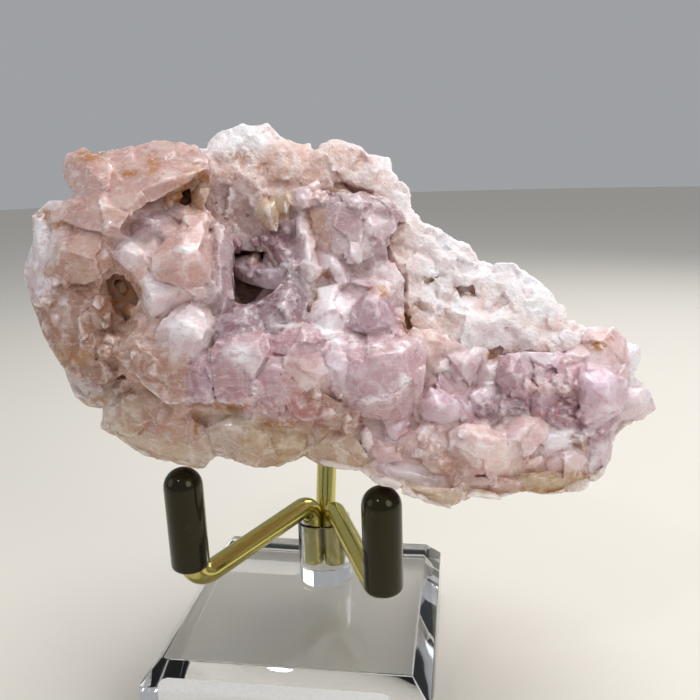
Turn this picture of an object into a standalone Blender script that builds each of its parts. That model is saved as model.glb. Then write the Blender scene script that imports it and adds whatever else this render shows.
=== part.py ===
"""A pink amethyst cluster resting on a three-arm stand of clear acrylic and brass.

Sizes are in millimetres and turned into metres by MM. The row's origin is the middle of the
block's underside, with +X to the viewer's right, +Y away from the viewer and +Z up.
The stone is drawn as it is seen from the front: each of its points is (x, z, toward), where x and z
are read on a plane at SIGHT_DISTANCE from the eye and toward brings the point along the line of
sight to the eye.
"""

import math
import random
from typing import NamedTuple

import bmesh
import bpy
from mathutils import Euler, Matrix, Vector, noise

MM = 0.001
GAP = 0.3

# Clear acrylic block and post
BLOCK_SIDE = 44.5
BLOCK_HEIGHT = 12.7
BEVEL_RUN = 2.75
BEVEL_DROP = 3.2
POST_CENTRE = (2.0, 6.3)
POST_DIAMETER = 9.4
POST_TOP = 24.6
POST_EDGE = 0.4
HOLE_FLOOR = 16.2
POST_SIDES = 32

# Brass arms: three rods share the hole in the post
ROD_DIAMETER = 3.5
ROD_SPACING = 3.65
ROD_SIDES = 12
ROD_FOOT = HOLE_FLOOR + GAP
HOLE_WALL_GAP = 0.14
SHOULDER_BEND = 2.4
LEFT_FOOT_BEND = 3.5
RIGHT_FOOT_BEND = 4.8
BEND_STEPS = 6

# Black vinyl caps, and the heights at which the front arms would turn with sharp corners
CAP_DIAMETER = 5.8
CAP_LENGTH = 16.2
CAP_ROOF = 2.2
CAP_FOOT_ROUND = 0.9
CAP_SIDES = 18
LEFT_CAP_TOP = (-14.2, -16.8, 43.4)
RIGHT_CAP_TOP = (15.4, -18.2, 42.1)
BACK_CAP_TOP = (2.2, 20.2, 59.0)
UPRIGHT = (0.0, 0.0)
BACK_LEAN = (0.0, 0.35)
LEFT_CORNER_HEIGHTS = (27.9, 24.4)
RIGHT_CORNER_HEIGHTS = (27.3, 23.7)
CAP_PLACES = {
    "left": (LEFT_CAP_TOP, UPRIGHT),
    "right": (RIGHT_CAP_TOP, UPRIGHT),
    "back": (BACK_CAP_TOP, BACK_LEAN),
}
DOME_ANGLES = (0, 32, 60)

# Where each rod sits round the post's axis, in degrees from +X
LEFT_SEAT = 210
RIGHT_SEAT = 330
BACK_SEAT = 90

# Blank card folded over the block's front bevel
LABEL_LEFT = -18.9
LABEL_RIGHT = 16.6
LABEL_ON_BEVEL = 1.65
LABEL_ON_FRONT = 7.4
LABEL_CORNER = 1.3
LABEL_THICKNESS = 0.25
LABEL_CORNER_STEPS = 4
LABEL_FOLD_LIFT = 0.12

# Where the stone stands and how it is turned
SIGHT_DISTANCE = 116.0
STONE_MIDDLE = (9.54, -4.65, 58.25)
STONE_LEAN = -14.5
STONE_ROLL = 2.0
STONE_TURN = 9.0
STONE_CENTRE = (-2.0, 3.0)
BACK_BULGE = 21.0
FRONT_BULGE = 6.0
RING_GROWTH = (0.24, 0.5, 0.72, 0.87, 0.96)
SKIN_LUMPS = 1.5
LUMP_SPACING = 14.0
SKIN_GRAIN = 0.8
GRAIN_SPACING = 5.0

# The stone's outline, clockwise from the horn at the upper left: (x, z, toward)
OUTLINE = (
    (-43.9, 28.6, 7), (-42.6, 30.6, 6), (-40.3, 31.3, 5), (-36, 30.6, 4), (-31, 31.8, 3), (-27, 32.2, 2),
    (-22.5, 31.7, 1), (-19.3, 33.8, 0), (-15.7, 34.6, 0), (-12.6, 35.1, 0), (-8.5, 32.6, 1), (-2, 32.2, 1),
    (2.4, 31, 1), (6, 29.5, 1), (9, 25, 1), (11.3, 20.3, 1), (15.5, 17.9, 1), (19, 15.9, 1),
    (25, 13.6, 2), (30.6, 9.8, 3), (35, 5, 4), (40.3, 3.9, 4), (44.3, 0.6, 3), (43.9, -3.8, 4),
    (47.1, -9, 5), (41.5, -12.9, 7), (39, -19, 8), (35.5, -21.6, 9), (31, -22.5, 10), (24, -22.8, 12),
    (18.5, -22.6, 13), (15.8, -24.3, 13), (8.5, -22.2, 13), (3.5, -20.2, 13), (1, -18.4, 12), (-4, -17.9, 11),
    (-7, -16.3, 10), (-10.5, -17.9, 9), (-14.8, -18, 8), (-20.4, -16.4, 7), (-22.8, -18.3, 7),
    (-28, -17.2, 7), (-32, -16, 6), (-38.1, -11.8, 5), (-37.8, -8.8, 5), (-42, -7, 4), (-46.4, 1.5, 3),
    (-49.9, 11, 3), (-48.5, 16.5, 4), (-48.5, 20.6, 6), (-46, 22.7, 7), (-42.6, 23.5, 8),
)


class Chunk(NamedTuple):
    """A faceted lump: its middle as seen, its half sizes and how far it is turned in the face."""

    at: tuple
    half: tuple
    turn: float = 0.0


class Crystal(NamedTuple):
    """A six-sided crystal: its tip as seen, where its axis points from, its length and its radius."""

    tip: tuple
    heading: tuple
    length: float
    radius: float
    shoulder: float = 0.62


LEFT_CHUNKS = (
    Chunk((-38.9, 25, 7), (5, 6.4, 7), 8),
    Chunk((-31, 27.8, 4), (11, 4.6, 8), 4),
    Chunk((-41.5, 14.5, 5), (7.4, 6.2, 7), -16),
    Chunk((-46.6, 10.6, 2), (3.6, 6, 5), 12),
    Chunk((-40.8, 3.2, 4), (6, 7, 7), 10),
    Chunk((-39.8, -4.6, 2), (3.4, 3.6, 5), 12),
    Chunk((-34.2, 15.6, 8), (3, 3.2, 3.6), 20),
    Chunk((-28.5, -0.5, 9), (7.6, 6.2, 6.5), -28),
    Chunk((-24.8, 3.8, 11), (4.8, 4.6, 5), 0),
    Chunk((-31, -10.5, 2.5), (6.5, 6.2, 7), -8),
    Chunk((-22.8, -13, 4), (4.5, 5.2, 6), 0),
)

MIDDLE_CHUNKS = (
    Chunk((-13, -12.8, 5.5), (7, 5.4, 6.5), -4),
    Chunk((-3.2, -13.6, 7.5), (5.4, 5.2, 6), -6),
    Chunk((4.8, -3.2, 11.5), (6.8, 6.4, 8), 0),
    Chunk((0.5, 18.5, 5), (6.4, 6.2, 6.5), 10),
    Chunk((-12.8, 21.2, 3), (2.6, 3.6, 4.6), 0),
    Chunk((-3, 10.5, 9), (3, 4, 5.6), -12),
    Chunk((8, -16.8, 8.5), (7.4, 4.6, 6), -14),
    Chunk((10.4, -13, 9.5), (5, 3.4, 5), -10),
)

RIGHT_CHUNKS = (
    Chunk((13.4, -8.4, 9), (3.2, 3.2, 5), -18),
    Chunk((20, -15.2, 7.5), (5.6, 4.3, 5.6), -10),
    Chunk((27, -13.2, 7), (4.2, 3.6, 5), 8),
    Chunk((25, -4, 6), (3, 4, 5), 0),
    Chunk((33.4, -4.8, 5.5), (2.6, 4.4, 5.4), 0),
    Chunk((38.6, -6.2, 6.5), (4.2, 4.9, 6.2), -8),
    Chunk((38.6, 0.8, 4), (4.2, 3.4, 4.8), 0),
    Chunk((43, -8.6, 3.5), (3.6, 3.4, 3.6), -20),
    Chunk((36, -16, 4), (4.8, 4.8, 5), 20),
    Chunk((24, 6, 0.5), (9, 6.5, 6), -32),
    Chunk((8.6, 20.6, 0), (2.6, 5, 4), 24),
)

CRUST_CHUNKS = (
    Chunk((-16, 30.2, 2), (6, 4.2, 5.4), 0),
    Chunk((-5, 28.6, 2), (8.6, 3.6, 6), -6),
    Chunk((4.5, 26.4, 1.5), (5, 3.8, 5), -30),
    Chunk((-32, 9, -10.5), (10, 8, 4.6), 24),
    Chunk((-20, 19, -13), (9, 7, 4.2), -12),
    Chunk((-5, 15, -15.5), (9, 8, 4.2), 35),
    Chunk((-17, -1, -15), (9, 6, 4.2), 14),
    Chunk((10, 5, -14.5), (10, 8, 4.2), -30),
    Chunk((23, -5, -11), (9, 7, 4.2), -14),
    Chunk((34, -10, -3.5), (7, 7, 5), 20),
    Chunk((-40, 4, -5), (6, 9, 5), -10),
    Chunk((8, -12, -4), (9, 5, 6), -16),
)

CRYSTALS = (
    Crystal((-21.4, 20.6, 12), (0.55, 0.72, 0.3), 14, 4.4, 0.8),
    Crystal((-30, 5.2, 13), (-0.42, -0.62, 0.6), 11, 3.8, 0.3),
    Crystal((-19.4, 19.4, 10), (0.02, 0.96, 0.2), 14, 2.4, 0.86),
    Crystal((-22.6, -0.5, 16), (-0.1, 0.3, 0.95), 11, 4.2, 0.6),
    Crystal((-16.4, -1.5, 18.5), (-0.05, 0.1, 1), 12, 4.9, 0.7),
    Crystal((-15.9, 7.2, 13.5), (-0.1, 0.8, 0.6), 9, 2.6, 0.4),
    Crystal((-9.6, 9.6, 13.5), (0.1, 0.72, 0.68), 10, 3.7, 0.55),
    Crystal((-8.7, 13.8, 9), (0.2, 0.5, 0.8), 7, 1.9, 0.7),
    Crystal((-6.7, 9.1, 10), (0.12, -0.9, 0.42), 13, 2.2, 0.55),
    Crystal((-7.4, 3.6, 17.5), (0, 0.45, 0.89), 11, 4.2, 0.4),
    Crystal((-3.2, 2.2, 15.5), (0, -0.5, 0.86), 9, 2.8, 0.6),
    Crystal((4.1, 9.4, 15), (-0.05, 0.7, 0.7), 11, 4.1, 0.55),
    Crystal((-6.8, -7, 18), (0.15, -0.15, 0.97), 10, 4, 0.55),
    Crystal((-1.6, -6.5, 17.5), (0.1, -0.3, 0.94), 9, 3.6, 0.5),
    Crystal((-12.6, -5.8, 17), (-0.1, -0.25, 0.96), 10, 3.8, 0.6),
    Crystal((-18.6, 16.2, -5), (-0.9, 0.1, 0.2), 9, 1.7, 0.8),
    Crystal((-18.2, 11.6, 4), (-0.86, -0.3, 0.3), 14, 2, 0.82),
)

# Hollows between the crystals, each a faceted cutter
HOLLOWS = (
    Chunk((-15.4, 10.8, 11), (3.4, 6.4, 14), 6),
    Chunk((-34.6, 8.2, 12), (3, 4.4, 11), 26),
    Chunk((-25.6, 22.4, 13), (3.2, 1.8, 9), 16),
    Chunk((0.2, 24.4, 12), (2.4, 0.9, 8), -4),
    Chunk((8.6, 4, 11), (1.4, 1.9, 8), 12),
    Chunk((17, 9, 9), (2.2, 1.3, 7), -20),
    Chunk((12, 10.8, 9), (2.4, 1.1, 7), 20),
    Chunk((-4.4, 10.6, 16), (1.1, 1.4, 6), 0),
    Chunk((21.8, -0.8, 9), (1.2, 1, 5), 30),
    Chunk((-14.6, 15, 9), (3.6, 1.6, 9), 4),
)

# How blunt and how uneven the lumps and the crystals are, as shares of their sizes
CORNER_REACH = 0.74
CHUNK_SPREAD = (0.86, 1.06)
CRYSTAL_SIDES = 6
CRYSTAL_TWIST = 0.12
CRYSTAL_SPREAD = (0.88, 1.06)
SHOULDER_DROPS = (0.8, 1.25)


def clear_scene():
    """Removes every object that the scene starts with."""
    for obj in list(bpy.data.objects):
        bpy.data.objects.remove(obj, do_unlink=True)


def make_material(name, colour, roughness, metallic=0.0, transmission=0.0, ior=1.45):
    """A Principled material with the finish of one sub-part."""
    material = bpy.data.materials.new(name)
    material.use_nodes = True
    shader = material.node_tree.nodes["Principled BSDF"]
    shader.inputs["Base Color"].default_value = (*colour, 1.0)
    shader.inputs["Roughness"].default_value = roughness
    shader.inputs["Metallic"].default_value = metallic
    shader.inputs["Transmission Weight"].default_value = transmission
    shader.inputs["IOR"].default_value = ior
    return material


def add_object(name, data, material=None, parent=None, collection=None):
    """Puts a mesh or a curve in the scene, with its material and its parent."""
    obj = bpy.data.objects.new(name, data)
    (collection or bpy.context.scene.collection).objects.link(obj)
    if material:
        data.materials.append(material)
    obj.parent = parent
    return obj


def mesh_from(bm, name, smooth_angle=None, turn_faces=True):
    """Turns a bmesh into a mesh whose faces point out."""
    if turn_faces:
        bmesh.ops.recalc_face_normals(bm, faces=bm.faces)
    mesh = bpy.data.meshes.new(name)
    bm.to_mesh(mesh)
    bm.free()
    if smooth_angle is not None:
        mesh.shade_smooth()
        mesh.set_sharp_from_angle(angle=math.radians(smooth_angle))
    return mesh


def make_helper(obj):
    """Keeps a cutter or an inner shape out of the render and shows it as wires."""
    obj.hide_render = True
    obj.display_type = "WIRE"
    return obj


def turned(name, profile, sides):
    """Turns a profile of (radius, z) points, which rises on its outer side, round the Z axis.

    Radius 0 is a single point, and the profile starts and ends on the axis.
    """
    bm = bmesh.new()
    rings = []
    for radius, z in profile:
        if radius == 0:
            rings.append([bm.verts.new((0, 0, z * MM))] * sides)
            continue
        angles = [2 * math.pi * k / sides for k in range(sides)]
        ring = [Vector((radius * math.cos(a), radius * math.sin(a), z)) * MM for a in angles]
        rings.append([bm.verts.new(point) for point in ring])
    for low, high in zip(rings, rings[1:]):
        for k in range(sides):
            corners = [low[k], low[(k + 1) % sides], high[(k + 1) % sides], high[k]]
            corners = [v for i, v in enumerate(corners) if v not in corners[:i]]
            if len(corners) > 2:
                bm.faces.new(corners)
    return mesh_from(bm, name, smooth_angle=40, turn_faces=False)


def rounded_path(corners, bends):
    """The points of a rod that runs through the corners, with an arc of its own radius at each inner one."""
    points = [Vector(corners[0])]
    for before, corner, after, bend in zip(corners, corners[1:], corners[2:], bends):
        corner = Vector(corner)
        into = (corner - Vector(before)).normalized()
        out = (Vector(after) - corner).normalized()
        angle = into.angle(out)
        start = corner - into * bend * math.tan(angle / 2)
        middle = start + (out - into * into.dot(out)).normalized() * bend
        axis = into.cross(out).normalized()
        for k in range(BEND_STEPS + 1):
            spin = Matrix.Rotation(angle * k / BEND_STEPS, 3, axis)
            points.append(middle + spin @ (start - middle))
    points.append(Vector(corners[-1]))
    return points


def tube_mesh(name, points, radius):
    """A closed tube of round section along the points, which turn without twisting."""
    bm = bmesh.new()
    across = None
    rings = []
    for before, point, after in zip([None, *points[:-1]], points, [*points[1:], None]):
        into = (point - before).normalized() if before else (after - point).normalized()
        out = (after - point).normalized() if after else into
        along = (into + out).normalized()
        across = across - along * across.dot(along) if across else along.orthogonal()
        across.normalize()
        beside = along.cross(across)
        spins = [2 * math.pi * k / ROD_SIDES for k in range(ROD_SIDES)]
        rings.append([bm.verts.new((point + (across * math.cos(a) + beside * math.sin(a)) * radius) * MM)
                      for a in spins])
    bm.faces.new(rings[0])
    bm.faces.new(rings[-1])
    for low, high in zip(rings, rings[1:]):
        for k in range(ROD_SIDES):
            bm.faces.new((low[k], low[(k + 1) % ROD_SIDES], high[(k + 1) % ROD_SIDES], high[k]))
    return mesh_from(bm, name, smooth_angle=40)


def cap_axis(lean):
    """The unit vector up a cap that leans by (x, y) for each unit of height."""
    return Vector((lean[0], lean[1], 1.0)).normalized()


def cap_profile(grow=0.0):
    """The half section of a cap as one solid, or of the plug that clears it by grow all round."""
    outer = CAP_DIAMETER / 2 + grow
    top = CAP_LENGTH + grow
    spins = [math.radians(a) for a in DOME_ANGLES]
    dome = [(outer * math.cos(a), top - outer * (1 - math.sin(a))) for a in spins]
    return [(0, -grow), (outer - CAP_FOOT_ROUND, -grow), (outer, CAP_FOOT_ROUND - grow), *dome, (0, top)]


def stand_cap(obj, top, lean):
    """Stands a turned cap with its dome at top, leaning as its arm does."""
    axis = cap_axis(lean)
    obj.location = (Vector(top) - axis * CAP_LENGTH) * MM
    obj.rotation_mode = "QUATERNION"
    obj.rotation_quaternion = Vector((0, 0, 1)).rotation_difference(axis)
    return obj


def rod_end(top, lean):
    """Where the rod's middle line ends inside its cap."""
    return Vector(top) - cap_axis(lean) * (CAP_ROOF + GAP)


def make_block(material):
    """The square acrylic block with its bevelled top edge."""
    bm = bmesh.new()
    half = BLOCK_SIDE / 2
    levels = ((half, 0), (half, BLOCK_HEIGHT - BEVEL_DROP), (half - BEVEL_RUN, BLOCK_HEIGHT))
    signs = ((-1, -1), (1, -1), (1, 1), (-1, 1))
    rings = [[bm.verts.new((sx * h * MM, sy * h * MM, z * MM)) for sx, sy in signs] for h, z in levels]
    bm.faces.new(rings[0])
    bm.faces.new(rings[-1])
    for low, high in zip(rings, rings[1:]):
        for k in range(4):
            bm.faces.new((low[k], low[(k + 1) % 4], high[(k + 1) % 4], high[k]))
    return add_object("base_block", mesh_from(bm, "base_block"), material)


def make_post(material):
    """The round post, with the blind hole that holds the three rods."""
    outer = POST_DIAMETER / 2
    hole = ROD_SPACING / math.sqrt(3) + ROD_DIAMETER / 2 + HOLE_WALL_GAP
    foot = BLOCK_HEIGHT + GAP
    profile = [(0, foot), (outer, foot), (outer, POST_TOP - POST_EDGE), (outer - POST_EDGE, POST_TOP),
               (hole, POST_TOP), (hole, HOLE_FLOOR), (0, HOLE_FLOOR)]
    post = add_object("post", turned("post", profile, POST_SIDES), material)
    post.location = (POST_CENTRE[0] * MM, POST_CENTRE[1] * MM, 0)
    return post


def rod_seat(angle):
    """The axis, in plan, of the rod that sits at this angle in the post's hole."""
    reach = ROD_SPACING / math.sqrt(3)
    spin = math.radians(angle)
    return (POST_CENTRE[0] + reach * math.cos(spin), POST_CENTRE[1] + reach * math.sin(spin))


def front_arm_path(angle, top, corner_heights, foot_bend):
    """A front arm: up out of the post, down and out to its foot, and up into its cap."""
    seat = rod_seat(angle)
    shoulder_z, foot_z = corner_heights
    end = rod_end(top, UPRIGHT)
    corners = [(*seat, ROD_FOOT), (*seat, shoulder_z), (end.x, end.y, foot_z), tuple(end)]
    return rounded_path(corners, (SHOULDER_BEND, foot_bend))


def back_arm_path():
    """The back arm: up out of the post, then leaning back into its cap."""
    seat = rod_seat(BACK_SEAT)
    axis = cap_axis(BACK_LEAN)
    end = rod_end(BACK_CAP_TOP, BACK_LEAN)
    bend = end - axis * ((end.y - seat[1]) / axis.y)
    return rounded_path([(*seat, ROD_FOOT), (*seat, bend.z), tuple(end)], (SHOULDER_BEND,))


def make_arm(name, path, brass, vinyl, top, lean):
    """A brass rod and the vinyl cap on its end, which fits round the rod and its bend."""
    add_object(f"{name}_arm", tube_mesh(f"{name}_arm", path, ROD_DIAMETER / 2), brass)
    over_end = path[-1] + (path[-1] - path[-2]).normalized() * GAP
    cutter = tube_mesh(f"{name}_bore", [*path[:-1], over_end], ROD_DIAMETER / 2 + GAP)
    cap = add_object(f"{name}_cap", turned(f"{name}_cap", cap_profile(), CAP_SIDES), vinyl)
    stand_cap(cap, top, lean)
    bore = cap.modifiers.new("bore", "BOOLEAN")
    bore.object = make_helper(add_object(f"{name}_bore", cutter))
    bore.operation = "DIFFERENCE"
    bore.solver = "EXACT"


def make_arms(brass, vinyl):
    """The three rods with their caps."""
    left = front_arm_path(LEFT_SEAT, LEFT_CAP_TOP, LEFT_CORNER_HEIGHTS, LEFT_FOOT_BEND)
    right = front_arm_path(RIGHT_SEAT, RIGHT_CAP_TOP, RIGHT_CORNER_HEIGHTS, RIGHT_FOOT_BEND)
    for name, path in (("left", left), ("right", right), ("back", back_arm_path())):
        make_arm(name, path, brass, vinyl, *CAP_PLACES[name])


def label_outline():
    """The flat label's outline, with rounded corners: (x, distance down from its top edge)."""
    height = LABEL_ON_BEVEL + LABEL_ON_FRONT
    steps = LABEL_CORNER_STEPS
    points = []
    for middle_x, middle_t, start in (
        (LABEL_RIGHT - LABEL_CORNER, LABEL_CORNER, -90),
        (LABEL_RIGHT - LABEL_CORNER, height - LABEL_CORNER, 0),
        (LABEL_LEFT + LABEL_CORNER, height - LABEL_CORNER, 90),
        (LABEL_LEFT + LABEL_CORNER, LABEL_CORNER, 180),
    ):
        for k in range(steps + 1):
            spin = math.radians(start + 90 * k / steps)
            x = middle_x + LABEL_CORNER * math.cos(spin)
            points.append((x, middle_t + LABEL_CORNER * math.sin(spin)))
    return points


def label_point(x, down):
    """A point of the label on the block: on the bevel above the fold, on the front face below it."""
    slope = Vector((0, -BEVEL_RUN, -BEVEL_DROP)).normalized()
    edge = Vector((0, -BLOCK_SIDE / 2 - GAP, BLOCK_HEIGHT - BEVEL_DROP + LABEL_FOLD_LIFT))
    fall = down - LABEL_ON_BEVEL
    way = slope if fall < 0 else Vector((0, 0, -1))
    return (edge + way * fall + Vector((x, 0, 0))) * MM


def make_label(material):
    """The blank card, folded where the bevel meets the front face."""
    points = label_outline()
    upper = [p for p in points if p[1] < LABEL_ON_BEVEL]
    lower = [p for p in points if p[1] > LABEL_ON_BEVEL]
    bm = bmesh.new()
    fold = [bm.verts.new(label_point(x, LABEL_ON_BEVEL)) for x in (LABEL_LEFT, LABEL_RIGHT)]
    upper = sorted(upper, key=lambda p: p[0])
    bm.faces.new([fold[0], *[bm.verts.new(label_point(*p)) for p in upper], fold[1]])
    bm.faces.new([fold[0], fold[1], *[bm.verts.new(label_point(*p)) for p in lower]])
    for face in bm.faces:
        if face.normal.y > 0:
            face.normal_flip()
    mesh = bpy.data.meshes.new("label")
    bm.to_mesh(mesh)
    bm.free()
    label = add_object("label", mesh, material)
    card = label.modifiers.new("card", "SOLIDIFY")
    card.thickness = LABEL_THICKNESS * MM
    card.offset = 1.0
    card.use_even_offset = True
    return label


def seen(x, z, toward):
    """The point of the stone's own frame that is seen at (x, z) and stands toward nearer than the plane."""
    scale = (SIGHT_DISTANCE - toward) / SIGHT_DISTANCE
    return Vector((x * scale, -toward, z * scale)) * MM


def body_ring(growth, side):
    """One ring of the body: the outline drawn in by growth, in front (1) or behind (-1) of the rim."""
    bulge = FRONT_BULGE if side > 0 else BACK_BULGE
    push = side * bulge * math.sqrt(1 - growth * growth)
    cx, cz = STONE_CENTRE
    ring = [(cx + (x - cx) * growth, cz + (z - cz) * growth, toward * growth) for x, z, toward in OUTLINE]
    return [seen(x, z, toward + push) for x, z, toward in ring]


def skin_height(point):
    """How far the skin stands out at a point, from broad lumps and a finer grain."""
    lumps = noise.noise(point / (LUMP_SPACING * MM)) * SKIN_LUMPS
    grain = noise.noise(point / (GRAIN_SPACING * MM)) * SKIN_GRAIN
    return (lumps + grain) * MM


def make_body(parent, material):
    """The stone's body: rings from the back to the front, then a grain of lumps over its skin."""
    bm = bmesh.new()
    rings = [body_ring(g, -1) for g in RING_GROWTH]
    rings.append(body_ring(1.0, 1))
    rings += [body_ring(g, 1) for g in reversed(RING_GROWTH)]
    rings = [[bm.verts.new(p) for p in ring] for ring in rings]
    count = len(OUTLINE)
    for low, high in zip(rings, rings[1:]):
        for k in range(count):
            bm.faces.new((low[k], low[(k + 1) % count], high[(k + 1) % count], high[k]))
    for ring, side in ((rings[0], -1), (rings[-1], 1)):
        bulge = FRONT_BULGE if side > 0 else BACK_BULGE
        pole = bm.verts.new(seen(*STONE_CENTRE, side * bulge))
        for k in range(count):
            bm.faces.new((ring[k], ring[(k + 1) % count], pole))
    bmesh.ops.recalc_face_normals(bm, faces=bm.faces)
    long_edges = [e for e in bm.edges if e.calc_length() > GRAIN_SPACING * MM]
    bmesh.ops.subdivide_edges(bm, edges=long_edges, cuts=1)
    bmesh.ops.triangulate(bm, faces=bm.faces)
    bm.normal_update()
    moves = [v.normal * skin_height(v.co) for v in bm.verts]
    for vert, move in zip(bm.verts, moves):
        vert.co += move
    return add_object("amethyst_cluster", mesh_from(bm, "amethyst_cluster"), material, parent)


def hull_mesh(name, points):
    """The closed convex skin of the points."""
    bm = bmesh.new()
    for point in points:
        bm.verts.new(point)
    result = bmesh.ops.convex_hull(bm, input=bm.verts)
    spare = {e for e in result["geom_interior"] + result["geom_unused"] if isinstance(e, bmesh.types.BMVert)}
    bmesh.ops.delete(bm, geom=list(spare), context="VERTS")
    return mesh_from(bm, name)


def chunk_mesh(name, chunk, seed):
    """A faceted lump: eight blunt corners and six flat sides, each a little out of true."""
    rng = random.Random(seed)
    signs = [(sx, sy, sz) for sx in (-1, 1) for sy in (-1, 1) for sz in (-1, 1)]
    corners = [(sx * CORNER_REACH, sy * CORNER_REACH, sz * CORNER_REACH) for sx, sy, sz in signs]
    sides = [(1, 0, 0), (-1, 0, 0), (0, 1, 0), (0, -1, 0), (0, 0, 1), (0, 0, -1)]
    spin = math.radians(chunk.turn)
    points = []
    for corner in corners + sides:
        x, z, toward = (c * h * rng.uniform(*CHUNK_SPREAD) for c, h in zip(corner, chunk.half))
        seen_x = chunk.at[0] + x * math.cos(spin) - z * math.sin(spin)
        seen_z = chunk.at[1] + x * math.sin(spin) + z * math.cos(spin)
        points.append(seen(seen_x, seen_z, chunk.at[2] + toward))
    return hull_mesh(name, points)


def crystal_mesh(name, crystal, seed):
    """A six-sided crystal: a prism from its foot to uneven shoulders, closed by a point."""
    rng = random.Random(seed)
    right, up, near = crystal.heading
    axis = Vector((right, -near, up)).normalized()
    tip = seen(*crystal.tip)
    across = axis.orthogonal().normalized()
    beside = axis.cross(across)
    points = [tip]
    for k in range(CRYSTAL_SIDES):
        spin = 2 * math.pi * (k + rng.uniform(-CRYSTAL_TWIST, CRYSTAL_TWIST)) / CRYSTAL_SIDES
        reach = crystal.radius * rng.uniform(*CRYSTAL_SPREAD)
        out = (across * math.cos(spin) + beside * math.sin(spin)) * reach
        drop = crystal.length * (1 - crystal.shoulder) * SHOULDER_DROPS[k % 2]
        points.append(tip + (out - axis * drop) * MM)
        points.append(tip + (out - axis * crystal.length) * MM)
    return hull_mesh(name, points)


def make_stone(material):
    """The amethyst: its body joined with its lumps and crystals, less the hollows and the caps' rests."""
    frame = bpy.data.objects.new("stone_frame", None)
    bpy.context.scene.collection.objects.link(frame)
    frame.location = Vector(STONE_MIDDLE) * MM
    frame.rotation_mode = "YXZ"
    frame.rotation_euler = Euler([math.radians(a) for a in (STONE_LEAN, STONE_ROLL, STONE_TURN)], "YXZ")
    stone = make_body(frame, material)

    grown = bpy.data.collections.new("grown")
    hollows = bpy.data.collections.new("hollows")
    rests = bpy.data.collections.new("rests")
    for collection in (grown, hollows, rests):
        bpy.context.scene.collection.children.link(collection)
    chunks = LEFT_CHUNKS + MIDDLE_CHUNKS + RIGHT_CHUNKS + CRUST_CHUNKS
    for number, chunk in enumerate(chunks):
        name = f"chunk_{number}"
        make_helper(add_object(name, chunk_mesh(name, chunk, number), parent=frame, collection=grown))
    for number, crystal in enumerate(CRYSTALS):
        name = f"crystal_{number}"
        make_helper(add_object(name, crystal_mesh(name, crystal, number), parent=frame, collection=grown))
    for number, hollow in enumerate(HOLLOWS):
        name = f"hollow_{number}"
        make_helper(add_object(name, chunk_mesh(name, hollow, number), parent=frame, collection=hollows))
    rest_mesh = turned("cap_rest", cap_profile(GAP), CAP_SIDES)
    for name, (top, lean) in CAP_PLACES.items():
        stand_cap(make_helper(add_object(f"{name}_rest", rest_mesh, collection=rests)), top, lean)

    for operation, collection in (("UNION", grown), ("DIFFERENCE", hollows), ("DIFFERENCE", rests)):
        modifier = stone.modifiers.new(collection.name, "BOOLEAN")
        modifier.operand_type = "COLLECTION"
        modifier.collection = collection
        modifier.operation = operation
        modifier.solver = "EXACT"
    return stone


def main():
    """Builds the stone and its stand."""
    clear_scene()
    acrylic = make_material("clear_acrylic", (0.97, 0.98, 0.98), 0.02, transmission=1.0, ior=1.49)
    brass = make_material("brass", (0.78, 0.62, 0.33), 0.22, metallic=1.0)
    vinyl = make_material("black_vinyl", (0.015, 0.014, 0.014), 0.3)
    card = make_material("white_card", (0.9, 0.9, 0.9), 0.5)
    amethyst = make_material("pink_amethyst", (0.72, 0.5, 0.48), 0.35)
    make_block(acrylic)
    make_post(acrylic)
    make_arms(brass, vinyl)
    make_label(card)
    make_stone(amethyst)


if __name__ == "__main__":
    main()
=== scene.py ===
"""A pink amethyst cluster on its stand: the looks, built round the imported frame.

The stone is sculpted as it is seen from the front. A point of it is (x, z, toward) in millimetres:
x and z are read on a plane SIGHT_DISTANCE from the eye, and toward brings the point along the line
of sight to the eye. The stand is built straight in the row's frame, in millimetres times MM.
"""

import logging
import math
from dataclasses import dataclass, field
from enum import Enum
from typing import Any, Iterable, NamedTuple, Sequence

import bmesh
import bpy
import numpy as np
from mathutils import Euler, Matrix, Vector


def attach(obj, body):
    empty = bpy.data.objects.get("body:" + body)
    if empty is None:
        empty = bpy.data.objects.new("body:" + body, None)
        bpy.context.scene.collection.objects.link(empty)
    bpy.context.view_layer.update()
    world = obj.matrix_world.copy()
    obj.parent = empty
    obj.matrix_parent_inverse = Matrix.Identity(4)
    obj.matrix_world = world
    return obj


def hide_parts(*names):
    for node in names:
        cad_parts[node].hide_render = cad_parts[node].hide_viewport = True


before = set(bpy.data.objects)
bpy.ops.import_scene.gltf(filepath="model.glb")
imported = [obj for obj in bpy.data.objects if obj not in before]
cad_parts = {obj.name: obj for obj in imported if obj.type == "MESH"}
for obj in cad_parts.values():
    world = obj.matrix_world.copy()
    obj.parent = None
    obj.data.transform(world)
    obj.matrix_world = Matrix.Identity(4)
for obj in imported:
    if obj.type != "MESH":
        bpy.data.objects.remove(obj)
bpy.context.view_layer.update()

LOG = logging.getLogger("amethyst")
BODY = "root"
MM = 0.001
SIGHT_DISTANCE = 116.0
FLOOR_DROP = 0.05

# The most triangles in one mesh of the stone, and how many shares of chance its facets draw from
TRIANGLE_LIMIT = 196000
CHANCES = 30000

# Where nothing is near, how thick open air counts, and what brings lattice noise to a spread of one
NOWHERE_NEAR = 1e9
OPEN_AIR = 6.0
NOISE_GAIN = 3.0

# How sharply the nearest mark of the rim, and of the fronts, wins over the others
RIM_POWER = 3.0
FRONT_POWER = 4.0

Triple = tuple[float, float, float]
Colour = tuple[float, float, float]


class Slot(Enum):
    """The material slots of the record."""

    STONE = "pink_amethyst"
    ACRYLIC = "clear_acrylic"
    BRASS = "brass"
    VINYL = "black_vinyl"
    CARD = "white_card"


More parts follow.
